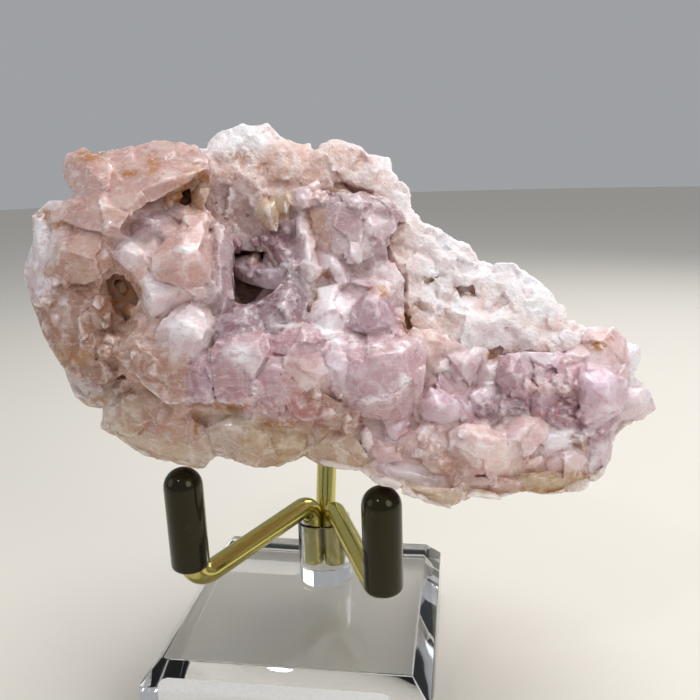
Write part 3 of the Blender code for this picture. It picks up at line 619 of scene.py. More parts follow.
SHARDS = (
    Shard(Tint.PINK, (
        (-43.8, 28.7, 6.5), (-43.1, 30, 6), (-40.5, 31.1, 5), (-38.6, 30.3, 5), (-36.5, 28.5, 8.5),
        (-37, 24.5, 11), (-40, 23.6, 10), (-42.6, 24.6, 8), (-43.7, 26.8, 7), (-40.5, 28.5, 9.3),
    )),
    Shard(Tint.PINK, (
        (-44.5, 20, 10.5), (-42, 18.6, 12), (-37.8, 18.3, 13.5), (-36.6, 17.4, 13.5), (-35.2, 18.2, 13.5),
        (-33.5, 20.8, 12.5), (-36, 28, 7), (-41, 25, 8), (-43, 23.4, 8), (-38.5, 22, 12.8),
    )),
    Shard(Tint.PINK, (
        (-36.5, 28.5, 7.5), (-38.5, 30.2, 5), (-35, 30.6, 3.5), (-31.5, 31.5, 3), (-28, 32, 2.5),
        (-24.5, 31.2, 2.5), (-22, 29.8, 5), (-22.3, 27.2, 8), (-25, 26.3, 10), (-29.6, 25.8, 11.5),
        (-33, 21.4, 13), (-36.5, 22.5, 12), (-31, 29, 7.5),
    )),
    # The shadowed underside below the top slab: its brown tint is partly its own colour and partly painted
    # shade
    Shard(Tint.BROWN, (
        (-29.8, 25.6, 9.5), (-33, 21.6, 11.5), (-30.5, 22.5, 10.5), (-28.5, 23, 8.5), (-24.5, 25.3, 7),
        (-22.5, 26.6, 6.5),
    )),
    Shard(Tint.WHITE, (
        (-48.3, 16.6, 6), (-48.4, 20.3, 6), (-46.2, 22.4, 6), (-43.2, 22.6, 7), (-42, 19.5, 10),
        (-44.3, 17.2, 11), (-46.5, 12.5, 10), (-48, 14, 7),
    )),
    Shard(Tint.SAND, (
        (-44, 18.6, 10), (-41.5, 18, 11.5), (-37.6, 17.8, 12), (-35.3, 15, 11), (-35.2, 13.4, 11),
        (-37.8, 11.2, 11.5), (-40.5, 10.2, 11), (-45.3, 10.8, 10), (-46.2, 12.3, 10), (-43.5, 15.2, 13),
        (-39.5, 13.8, 13.5),
    )),
    Shard(Tint.WHITE, (
        (-50, 11, 3), (-49.4, 14.4, 3.5), (-48.4, 16.4, 4), (-47.8, 13, 8), (-45.6, 10.8, 9),
        (-46, 8.2, 8.5), (-47.8, 8.3, 7), (-48.8, 9, 5),
    )),
    Shard(Tint.CLAY, (
        (-47.8, 8, 5), (-46.8, 8.6, 7), (-43.6, 9.2, 9), (-40.6, 9.9, 9.5), (-41.5, 5, 11), (-43, -0.5, 10),
        (-44.8, -2.4, 6.5), (-46.2, 1.2, 5), (-47.5, 5, 5),
    )),
    Shard(Tint.CLAY, (
        (-43.6, 9.2, 9), (-40.6, 9.9, 9.5), (-36.8, 9.6, 9), (-34.8, 8, 8), (-35.2, 5, 8),
        (-38.2, 2.8, 9.5), (-41.4, 4.5, 11), (-38.3, 7.5, 11),
    )),
    Shard(Tint.BROWN, (
        (-41.5, 5, 11), (-37.8, 3, 9.3), (-35.6, 1.5, 8.5), (-36.5, -4, 10), (-38, -5.5, 9), (-43, -2.6, 9),
        (-44.5, -2.4, 7), (-40.5, 0.5, 12),
    )),
    Shard(Tint.GREY, (
        (-43.8, -2.6, 5), (-42.5, -2.2, 8), (-38.5, -3, 8.5), (-37.2, -6.5, 8), (-37.8, -8.6, 5.5),
        (-40.3, -8.5, 5), (-42, -7, 4.5), (-43.3, -4.5, 4.5), (-40.8, -4.8, 9),
    )),
    Shard(Tint.BLUSH, (
        (-32.4, 15.6, 11), (-30, 15.6, 11.4), (-28.2, 14.8, 12.4), (-29.6, 12.4, 13), (-31.8, 13.2, 12.2),
        (-30.6, 14.4, 12.8),
    ), 4.0),
    Shard(Tint.PINK, (
        (-34.2, 13.2, 11.4), (-32.2, 13.6, 11.8), (-31, 12.4, 12.6), (-30.8, 10, 13), (-30.6, 7, 13),
        (-31.6, 6.2, 11.4), (-32.4, 9, 10.6), (-33.6, 11.6, 10.8), (-31.8, 10, 13.2),
    ), 5.0),
    Shard(Tint.BLUSH, (
        (-27.6, 8.4, 13.6), (-26.6, 10.6, 13.8), (-24, 9.4, 14.2), (-22.2, 9.6, 13.4), (-22, 8.2, 13),
        (-25, 7.4, 13.6), (-28, 5.8, 13.2), (-25.4, 8.6, 14.8),
    ), 4.0),
    Shard(Tint.BEIGE, (
        (-24.6, 24, 5), (-24, 25.8, 5), (-22.6, 26.2, 5.4), (-21.4, 24.8, 5.4), (-22.2, 22.8, 6),
        (-23.8, 22.2, 6), (-23, 24.4, 7),
    ), 4.0),
    Shard(Tint.SNOW, (
        (-26.5, 14.8, 15), (-25.6, 16.3, 14.6), (-23.8, 15.6, 15), (-24.8, 14.7, 15.6), (-25.4, 15.4, 16.1),
    ), 2.0),
    Shard(Tint.FROST, (
        (-36.5, 14.4, 11.5), (-35.5, 16.8, 11), (-33.4, 18.3, 9), (-31.5, 16.5, 10), (-31.8, 14, 12),
        (-33.2, 12, 12), (-35, 13.3, 12.5), (-34, 15.3, 13),
    )),
    Shard(Tint.DUSK, (
        (-33, 21, 9), (-30, 22.3, 8), (-27, 21, 8), (-25.3, 19.5, 8), (-28.6, 16.2, 10),
        (-31.8, 16.5, 10.5), (-33.6, 18.6, 10), (-29.8, 19.5, 11.5),
    )),
    Shard(Tint.SHELL, (
        (-21.6, 20.6, 9.5), (-25.3, 20.2, 10), (-27.2, 17, 12), (-29.8, 14.4, 13.5), (-30.2, 12.5, 13.8),
        (-29.2, 11, 14), (-26.5, 10.2, 14.5), (-24, 9.4, 14.5), (-21.6, 10.6, 13), (-21.2, 14, 12),
        (-26.3, 15.8, 15.5), (-23.6, 14.6, 16), (-25.6, 12.4, 16.2),
    )),
    Shard(Tint.WHITE, (
        (-31.6, 12.6, 12), (-31.4, 10.8, 13), (-29.5, 11, 13), (-26.6, 9.6, 14), (-24.8, 8.4, 14),
        (-27.2, 6.5, 13.5), (-29, 5.6, 13.5), (-30.2, 5.2, 13), (-31.6, 7.4, 12.5), (-29.9, 7.4, 15),
    )),
    Shard(Tint.DUSK, (
        (-21, 18.9, 9), (-19.3, 18.7, 9), (-18.3, 16.2, 9), (-17.8, 14, 8.5), (-18.2, 12, 9),
        (-17.9, 10, 10), (-17.8, 6.4, 10.5), (-21.5, 6, 12), (-24.5, 8.2, 13), (-21.3, 10.5, 13),
        (-21.1, 14, 12), (-19.6, 15, 12), (-19.4, 9, 13.2),
    )),
    Shard(Tint.WHITE, (
        (-24.6, 8.2, 12), (-21.2, 6.4, 12), (-20.6, 4.5, 13), (-20.9, 1.6, 14), (-21.2, 0.2, 14.5),
        (-24, -1, 16), (-27, -1.6, 15.7), (-29.7, 0.5, 14.5), (-29.2, 3.2, 15), (-27.5, 5.8, 14.5),
        (-25, 3.6, 17.3), (-22.5, 2, 17.1),
    )),
    Shard(Tint.SAND, (
        (-35.8, 0.3, 11), (-34.4, 2.8, 11.5), (-32, 5.6, 11.5), (-29.6, 4.8, 13), (-29.5, 1, 15),
        (-25, -0.6, 16.2), (-24.6, -4.6, 16), (-24.9, -8, 14.8), (-28.4, -7.7, 13.9), (-31, -5, 13.5),
        (-33.6, -3.2, 12.8), (-35.4, -1, 11.8), (-32.4, 0.5, 14.8),
    )),
    Shard(Tint.MAUVE, (
        (-25, -1, 15.5), (-21.5, 0.2, 15.2), (-20.9, -4, 16.2), (-20.8, -8, 15.4), (-24.9, -8.3, 14.7),
        (-24.5, -4.6, 16.1), (-22.6, -2, 16.4), (-22, -6, 16.2),
    )),
    Shard(Tint.ROSE, (
        (-20.9, -0.2, 16.5), (-20.2, 1.2, 16), (-18.4, 1.4, 17), (-15, 2.6, 16.8), (-12.4, 2.2, 16.5),
        (-12, 0, 17.5), (-13.7, -2.2, 17.8), (-14.5, -4, 17.5), (-16.4, -4.6, 17.1), (-16, -8.5, 15.9),
        (-20, -7.8, 15.7), (-20.8, -4.6, 16.5), (-18.6, -1, 17.6), (-15.2, -0.6, 18),
    )),
    Shard(Tint.FROST, (
        (-18.7, -1, 17.6), (-18.3, 1, 17.4), (-14, 1.2, 17.8), (-13, -1.2, 17.9), (-14.2, -3.6, 17.7),
        (-16.8, -3.2, 17.6), (-16.5, -0.8, 18.1),
    )),
    Shard(Tint.ROSE, (
        (-20.8, -4.6, 16.2), (-17, -4.9, 16.9), (-14, -6, 17), (-13, -8, 16.4), (-12.4, -9.8, 15.5),
        (-16, -8.8, 15.4), (-19.9, -7.8, 15.5), (-16, -6, 17),
    )),
    Shard(Tint.SMOKE, (
        (-21.3, 2, 14), (-20.4, 4.9, 13), (-18.2, 5.8, 12.5), (-16.9, 6.2, 12.8), (-15.8, 7.4, 12.3),
        (-14.6, 6.2, 13), (-13, 5, 13.5), (-12.7, 2.2, 15.5), (-16, 2.8, 16.4), (-19, 1.6, 16.3),
        (-20.8, 1, 15.2), (-17, 4, 15.5),
    )),
    Shard(Tint.SMOKE, (
        (-14.2, 6.2, 12.5), (-12.2, 7.6, 12.5), (-10.5, 9.3, 12), (-9.2, 9.7, 12), (-7.4, 8.6, 12),
        (-6.9, 6, 13), (-7.3, 4.6, 14.5), (-9.8, 4.6, 15), (-12.3, 2.6, 15.5), (-13, 4.6, 14.5),
        (-10.3, 6.8, 14.8),
    )),
    Shard(Tint.ROSE, (
        (-7.2, 4.8, 14.5), (-9.6, 3.4, 15.2), (-12.3, 1, 16), (-12, -0.6, 17), (-9.9, -1, 17.6),
        (-6, -0.6, 18.2), (-4.6, 0.2, 17.6), (-4.9, 2, 16.6), (-7.4, 1.8, 17.8),
    )),
    Shard(Tint.MAUVE, (
        (-6.3, 4.8, 14.5), (-5.1, 2.6, 16.5), (-3.4, 1.2, 16.5), (-3, -1, 17), (-5, -0.6, 17.8),
        (-5, 1.5, 17.6),
    )),
    Shard(Tint.LILAC, (
        (-3.7, -0.8, 17.5), (-1.6, 0, 17.2), (0.4, -1.4, 17.5), (0.2, -4.6, 18), (-0.8, -7, 17.5),
        (-2.2, -8, 17), (-3.4, -3.8, 18.4), (-1.4, -2.5, 18.9),
    )),
    Shard(Tint.BLUSH, (
        (-10, -1, 17.6), (-5, -0.6, 18), (-3.5, -2.8, 18.4), (-6.3, -3.5, 18.3), (-9.4, -4, 17.9),
        (-10, -2.5, 17.9),
    )),
    Shard(Tint.DEEP, (
        (-9.8, -3.8, 17.8), (-7.6, -5.4, 17.8), (-5, -9, 16.9), (-4.8, -10.5, 16), (-7.3, -10.6, 16),
        (-9.3, -9.3, 16.4), (-9.8, -6.4, 17.3), (-7.8, -8, 17.3),
    )),
    Shard(Tint.ROSE, (
        (-14, -4, 17.3), (-12, -2.4, 17.6), (-10, -2.8, 17.8), (-9.7, -6, 17.5), (-9.7, -9.6, 16.2),
        (-12, -9.6, 15.6), (-13.2, -7.4, 16.5), (-11.4, -5.6, 17.6),
    )),
    Shard(Tint.BLUSH, (
        (-9.2, -3.2, 17.9), (-6.3, -2.6, 18.4), (-3.6, -2.4, 18.4), (-4.4, -6, 17.9), (-5, -8.8, 17),
        (-7.3, -5.6, 18),
    )),
    Shard(Tint.CLAY, (
        (-4.6, -6, 17.6), (-2.4, -8, 17), (0.6, -9, 16.4), (1.6, -11, 15), (0.8, -12.2, 14),
        (-4.9, -12, 14.5), (-4.8, -10, 16.3), (-2, -10, 17.1),
    )),
    Shard(Tint.ROSE, (
        (-1.2, -0.4, 17.2), (0.6, 2.2, 16), (3, 2.4, 16), (5.4, 2, 16.2), (7.8, 2.6, 15), (9.8, 0.8, 14.5),
        (11.1, -1.2, 14), (11.2, -4.6, 14.5), (10.2, -7.6, 14.5), (8.6, -10, 14), (5.6, -10.8, 14.5),
        (2, -10.3, 15), (0, -8, 17.5), (-1, -5.2, 17.6), (3.2, -7.7, 18.9), (6.4, -7.2, 19.3),
        (8.6, -4.8, 19), (7.8, -0.6, 18.6), (3.8, -1, 19.3), (0.6, -4, 19.1),
    ), 9.0),
    Shard(Tint.MAUVE, (
        (0, 3.4, 14.5), (0.6, 6.9, 13.8), (2, 8.6, 13.5), (3.4, 9.6, 13), (4.8, 9.4, 13), (5.8, 8.2, 13),
        (7, 5.4, 13), (8.2, 3.2, 13.5), (7.6, 2.6, 14.6), (5, 2, 16), (2.4, 2.4, 16), (0.4, 2.8, 15.4),
        (4, 6, 16.2), (2.6, 4.6, 16.4),
    )),
    Shard(Tint.LILAC, (
        (5.4, 2, 15.6), (7.9, 3.2, 14.6), (9.9, 1.2, 14), (10.9, -0.2, 14), (9.4, -2, 17), (6.6, -0.6, 18),
        (6.2, 0.9, 17),
    )),
    Shard(Tint.SNOW, (
        (-4.7, 9.4, 11), (-2.6, 10, 11), (-0.6, 8.4, 12), (0.2, 7, 12.6), (-0.2, 5, 13.8), (-1.8, 3.6, 15),
        (-3.3, 1.4, 15.6), (-4.6, 3, 15), (-6.4, 5, 14), (-5.4, 7, 12.5), (-3.2, 5.6, 15.2),
    )),
    Shard(Tint.SNOW, (
        (-9.9, 12.7, 9), (-8.7, 14.3, 9), (-7.5, 13.4, 9), (-7.7, 11, 9.6), (-8.4, 10.6, 9.6),
        (-9.6, 11.2, 9.4), (-8.6, 12.5, 11),
    ), 4.0),
    Shard(Tint.WHITE, (
        (-8.2, 20.2, 7), (-6.9, 20.2, 7.5), (-5.6, 17, 9), (-4.2, 12, 11), (-4.6, 10.9, 11), (-6.6, 9, 11),
        (-7.4, 10.6, 10.5), (-7.6, 15, 9), (-8.1, 18, 7.6), (-6.3, 13.5, 12),
    ), 3.0),
    Shard(Tint.BEIGE, (
        (-14.5, 21.5, 6), (-13.4, 23, 6), (-11.2, 23, 6.5), (-10.9, 20.6, 7), (-11.2, 18.2, 7),
        (-12.4, 18.6, 7), (-13.9, 20, 6.6), (-12.5, 21.2, 8.8),
    ), 4.0),
    Shard(Tint.BEIGE, (
        (-11, 21, 6), (-10.6, 23.6, 6), (-9.3, 24.2, 6), (-8.6, 22.2, 6.5), (-9.3, 20.8, 7), (-10, 22, 8),
    ), 4.0),
    Shard(Tint.SMOKE, (
        (-11.2, 20.2, 5.5), (-8.7, 20.6, 6), (-8.2, 18, 6.5), (-9.8, 16.6, 6), (-11.3, 18, 5.6),
        (-9.9, 18.7, 7),
    ), 4.0),
    Shard(Tint.MAUVE, (
        (-13, 17.8, 4), (-11, 18, 5), (-9.4, 16.4, 6), (-8.3, 14.4, 7), (-10.2, 13.8, 6.5),
        (-12, 14.2, 4.5), (-11, 15.8, 7),
    ), 5.0),
    Shard(Tint.SAND, (
        (-6.6, 21, 7.6), (-4, 21.4, 8.6), (-2, 21.8, 9.6), (-2.2, 18, 10.8), (-2.2, 14.6, 11),
        (-4, 14.6, 10.2), (-5.4, 16.2, 9), (-6.3, 18.6, 8),
    )),
    Shard(Tint.DUSK, (
        (-3.8, 21.6, 8.8), (-1.8, 22.4, 9.4), (0.4, 22, 9.4), (1.4, 20.8, 9.6), (1.8, 18.4, 10),
        (1.6, 15.8, 10.6), (-0.6, 14.8, 11), (-2.2, 14.4, 11.2), (-2.4, 17.6, 11), (-0.2, 18.4, 10.8),
    )),
    Shard(Tint.FROST, (
        (-8.6, 22, 7), (-8.2, 24.6, 6.6), (-6.2, 25, 7), (-5.6, 23, 8), (-6.4, 21.4, 8.2), (-7.4, 23, 8.6),
    ), 4.0),
    Shard(Tint.DUSK, (
        (-5.8, 22, 8), (-5.2, 24, 7.6), (-3.4, 24.2, 8), (-2.4, 23, 8.8), (-3.4, 21.8, 9),
        (-4.4, 22.8, 9.2),
    ), 4.0),
    Shard(Tint.DUSK, (
        (-1.4, 23.6, 8.4), (1.4, 24, 7.8), (2.8, 22.6, 8), (3.2, 20.8, 8.6), (2.4, 19.8, 9.6),
        (0.8, 21, 10), (-0.8, 22.4, 9.6), (1.2, 22.6, 9.8),
    ), 4.0),
    Shard(Tint.DUSK, (
        (2.8, 23.6, 7), (5.4, 23, 6), (7.6, 21.4, 5), (8.4, 19.6, 5), (5.6, 19.8, 7.4), (3.4, 21, 8.4),
        (5.4, 21.8, 7.8),
    ), 4.0),
    Shard(Tint.WHITE, (
        (1.6, 19.4, 9), (3.2, 20.6, 8.6), (5.6, 19.6, 7.6), (4.8, 18, 8.4), (2.6, 17.6, 9.6), (3.2, 19, 10),
    ), 4.0),
    Shard(Tint.DUSK, (
        (1.8, 17.8, 9.4), (4.4, 18.6, 8.6), (6, 17.8, 7.6), (6.3, 16.2, 7.4), (4.6, 14.3, 8.2),
        (2.2, 13.6, 9.4), (1.8, 15.6, 10), (4, 16.4, 9.8),
    )),
    Shard(Tint.WHITE, (
        (5, 12.6, 7.6), (6.6, 13.2, 7), (8, 11, 7.4), (8.2, 8.6, 8), (7.6, 6.6, 9), (6, 7.6, 10.4),
        (5, 9.8, 9.8), (6.6, 10, 9.6),
    ), 4.0),
    Shard(Tint.FROST, (
        (-0.9, 13, 10.5), (-0.7, 15.6, 10.8), (0.2, 16.4, 10.8), (1.8, 15.8, 10.6), (1.8, 13.5, 10),
        (0.4, 12.8, 10.4), (0.4, 14.6, 11.8),
    ), 4.0),
    Shard(Tint.SNOW, (
        (-5, 14, 9.5), (-4.2, 15.2, 9.5), (-2.6, 14.6, 10.5), (-1.2, 12.6, 10.6), (-0.9, 11.4, 10.6),
        (-2.6, 11, 10.8), (-4.4, 12.6, 10.4), (-2.8, 13, 11.8),
    ), 4.0),
    Shard(Tint.FROST, (
        (-3.4, 11, 10), (-1, 12.2, 10.5), (-0.4, 10, 11), (-1.6, 8.8, 11.6), (-3.4, 9.8, 11),
    ), 4.0),
    Shard(Tint.DUSK, (
        (0.2, 12.6, 8), (2.2, 12.8, 8), (5, 11.5, 8), (7.6, 10, 8), (7.8, 7, 9), (6, 8, 11), (2, 8.8, 11),
        (0.2, 9, 10.6), (3, 11, 9.8),
    )),
    Shard(Tint.MAUVE, (
        (11.4, -4.4, 10), (13.6, -3.8, 10), (15, -5, 10), (15.6, -6.4, 10.5), (12.6, -5.6, 11.5),
        (11.6, -5.2, 11),
    ), 4.0),
    Shard(Tint.LILAC, (
        (12.2, -5.4, 12), (14.4, -6.4, 12), (16.4, -8, 12), (16.6, -10.6, 12), (14, -11.3, 12.5),
        (11.2, -10.9, 12.5), (10.4, -9, 12.5), (10.9, -7.4, 12.5), (13.6, -8.6, 14.6),
    )),
    Shard(Tint.MAUVE, ((16.4, -6.8, 11), (18, -10.4, 11.5), (17, -10.9, 12), (15.9, -8, 12.3)), 4.0),
    Shard(Tint.LILAC, (
        (17.4, -6.6, 9.5), (19.6, -5.4, 9), (22.5, -4, 8.5), (22.6, -7.4, 9), (21, -9.6, 9.5),
        (18.8, -10, 10), (20, -7.4, 11),
    )),
    Shard(Tint.PEACH, (
        (15, -13, 11.5), (16, -12, 11.8), (17.6, -11.4, 12), (20.6, -11.6, 12), (23.2, -12.4, 11.8),
        (23.6, -13.8, 12.2), (24.8, -16.4, 12), (24.4, -17.8, 11.5), (22.6, -19.1, 11.5), (20, -18.8, 12),
        (18.6, -18.2, 12.5), (16.8, -16, 12.8), (15.6, -14.4, 12.5), (19.4, -13.4, 14.2), (22, -13.6, 13.8),
        (19, -17, 14.2),
    )),
    Shard(Tint.BLUSH, (
        (23.2, -12.8, 11.5), (24.8, -10.9, 10.5), (26.8, -10.2, 10), (29, -10.6, 10), (30.2, -11.6, 10),
        (30.2, -13, 10.8), (28.8, -14.4, 11.5), (27.6, -15.8, 12), (24.8, -16.6, 12.3), (24, -14.6, 12.8),
        (26.6, -12.6, 12.9),
    )),
    Shard(Tint.MAUVE, (
        (22.9, -1.6, 9), (24.6, -0.3, 8.5), (26.4, -0.6, 8.5), (27.6, -2.4, 9), (27.4, -5.2, 9.5),
        (26.6, -7, 10), (23.2, -7.2, 10), (22.4, -4.6, 9.6), (24.6, -3.6, 11.6), (26, -4, 11.2),
    )),
    Shard(Tint.LILAC, (
        (27.6, -0.8, 8), (31.5, -0.4, 8), (33.4, -1, 8), (30.6, -3.2, 9.4), (28.2, -3.8, 9.6),
    ), 4.0),
    Shard(Tint.ROSE, (
        (31.6, -2.6, 9), (32.8, -1, 8.5), (35.1, -2.4, 9), (35.1, -7.6, 10), (34.4, -8.6, 10),
        (32.4, -7, 10), (31.9, -4.6, 9.8), (33.4, -4.4, 11.2),
    )),
    Shard(Tint.ORCHID, (
        (35.2, -2.6, 9.8), (36.6, -1.9, 9.4), (38.6, -2.8, 9.8), (40.4, -4, 11.5), (42.2, -4.6, 9),
        (42.3, -7, 9), (41.2, -9.2, 9.4), (39.4, -10.4, 9.8), (37, -10.6, 10.4), (35.6, -9.8, 10.8),
        (35, -6.4, 11.4), (40, -4.9, 13), (39.2, -7.6, 13.4), (36.4, -5.2, 13),
    )),
    Shard(Tint.BLUSH, (
        (35.4, 1.6, 6), (36, 3.3, 4.5), (38, 3.5, 4), (40.4, 3.5, 4), (41.8, 1.8, 4.5), (42.2, -1, 6),
        (42, -4.2, 8), (40, -3.6, 9), (36.6, -1.6, 9), (35.2, -2, 8.5), (38.4, 0.8, 8.8), (40.4, 0, 8.4),
    )),
    Shard(Tint.SNOW, (
        (41.6, 1.4, 3), (42.4, 1.5, 3), (44.2, 0.6, 3), (44.7, -1.4, 3), (43.9, -3.6, 4), (42.6, -5, 6),
        (42.2, -2, 6.5), (43, -0.5, 6),
    ), 4.0),
    Shard(Tint.FROST, (
        (42.4, -5, 6), (44, -4.8, 5), (45.8, -6.8, 4.5), (47.1, -9, 4.5), (45.6, -10.2, 5),
        (43.6, -10.6, 6), (42, -9.6, 8), (42.2, -7, 8.5), (44.2, -7.6, 8),
    ), 4.0),
    Shard(Tint.MAUVE, (
        (34.8, -10, 9.5), (38.2, -10.6, 10), (40.6, -10.8, 8.6), (39.2, -12.8, 8.4), (37, -14, 8.8),
        (35.6, -13, 10), (36.8, -12, 10.8),
    )),
    Shard(Tint.CLAY, (
        (33.6, -12.2, 9.4), (35.2, -12, 9.8), (36, -13.4, 9.6), (36.4, -15, 8.8), (34.4, -14.6, 9.3),
        (33.3, -13.4, 9.6), (34.8, -13.3, 10.4),
    ), 4.0),
    Shard(Tint.SNOW, (
        (30.4, -12.4, 9.5), (34.2, -12, 9.4), (33.4, -14.6, 9.8), (30.6, -15.4, 10), (29, -16, 10.4),
        (28.4, -14.8, 10.5), (31.4, -13.4, 11),
    ), 4.0),
    Shard(Tint.BLUSH, (
        (29.6, -16.8, 9.8), (31.6, -15.6, 10), (34.6, -15.4, 9.6), (35.8, -16.4, 9), (35.4, -19, 8.5),
        (32.2, -19, 9.2), (30, -18.6, 9.8), (33, -17, 10.6),
    ), 4.0),
    Shard(Tint.SHELL, (
        (25.6, -17.8, 10.6), (27, -16.4, 11), (29.4, -15.8, 10.8), (29.8, -17, 10.3), (28.4, -18.4, 10.2),
        (26.4, -18.6, 10.4), (27.8, -17.2, 11.4),
    ), 3.0),
    Shard(Tint.BLUSH, (
        (7, -13.8, 12.5), (8.8, -12, 12.5), (10.6, -11, 12), (13, -11.2, 12), (14.8, -14, 12),
        (14, -15.4, 12.2), (11, -16.2, 12.6), (7.2, -15, 13), (11, -13, 14.4),
    )),
    Shard(Tint.LILAC, (
        (4.6, -10.6, 13.5), (8.4, -10.2, 13), (9.6, -11.2, 13), (7, -13.6, 13), (5, -13, 13),
        (6.8, -11.6, 14.4),
    ), 4.0),
    Shard(Tint.SAND, (
        (10.6, -17, 12.4), (14.6, -15.2, 12), (16.4, -17, 11.8), (15.4, -19.4, 11.8), (12.4, -19, 12.4),
        (13.8, -17, 13.6),
    ), 4.0),
    Shard(Tint.WHITE, (
        (3.4, -17.4, 11.5), (6, -17, 12), (10.6, -18.6, 12.4), (13.4, -19.6, 12), (12.6, -20.6, 11.6),
        (7, -20.2, 12), (4, -19, 11.6), (8, -18.6, 13.4),
    ), 4.0),
    Shard(Tint.WHITE, (
        (1.2, -12.4, 13.5), (2.4, -11, 14), (3.6, -12.4, 14), (3.9, -14.4, 13.5), (2.8, -16, 12.8),
        (1.6, -14.6, 13), (2.4, -13, 14.8),
    ), 4.0),
    Shard(Tint.PEACH, (
        (9.4, 2.4, 9), (12.4, 2.9, 8.5), (15.2, 2.4, 8), (15.6, 0.2, 8.4), (13, -1, 9.4), (11.4, -2.6, 10),
        (12, 0.8, 10.4),
    ), 4.0),
    Shard(Tint.WHITE, (
        (11.8, -3.4, 9.4), (13.4, -1.2, 9), (15.4, -0.6, 8.6), (15.2, -3.4, 9.6), (12.4, -4, 10),
        (13.8, -2.4, 10.6),
    ), 4.0),
    Shard(Tint.FROST, (
        (15.4, -0.8, 8.4), (19, 0.4, 8), (21, 0, 7.8), (20.6, -1.8, 8.6), (18, -4.4, 9.4), (16, -5.4, 9.8),
        (15, -3.4, 9.6), (17.6, -2.2, 10.4),
    ), 4.0),
    Shard(Tint.MAUVE, (
        (28, -4, 8.6), (31.6, -3.4, 9), (32.2, -6.5, 9.4), (31.5, -9.6, 9.6), (28.5, -10.4, 9.8),
        (26.6, -7.4, 9.4), (29.8, -6.4, 10.3),
    ), 5.0),
    Shard(Tint.BLUSH, (
        (3.2, -12.8, 13.2), (7.6, -14.6, 13), (8.4, -17, 12.4), (5, -17.6, 12.2), (3, -16, 12.4),
        (5.6, -15.2, 13.8),
    ), 4.0),
    Shard(Tint.ROSE, (
        (-15.8, -4, 17), (-13, -4.2, 17.2), (-12.6, -7, 16.6), (-15.4, -7.4, 16.4), (-14.2, -5.6, 17.8),
    ), 4.0),
    Shard(Tint.MAUVE, (
        (30.4, -8.4, 9.4), (34.8, -8.2, 9.6), (35.2, -11.6, 9.6), (32.6, -12.4, 9.8), (30, -10.8, 9.8),
        (32.6, -10, 10.5),
    ), 4.0),
    Shard(Tint.FROST, (
        (19.4, -2, 8.2), (23, -1.6, 8.4), (23.2, -4.8, 8.8), (20.2, -5.2, 8.8), (21.4, -3.2, 9.4),
    ), 4.0),
    Shard(Tint.SMOKE, (
        (19.4, -5.6, 9), (22.6, -6.4, 9.2), (26.6, -8.2, 9.2), (27, -10.4, 9.6), (22, -11, 10),
        (18.8, -10, 10), (22.6, -8.4, 10.4),
    ), 4.0),
)

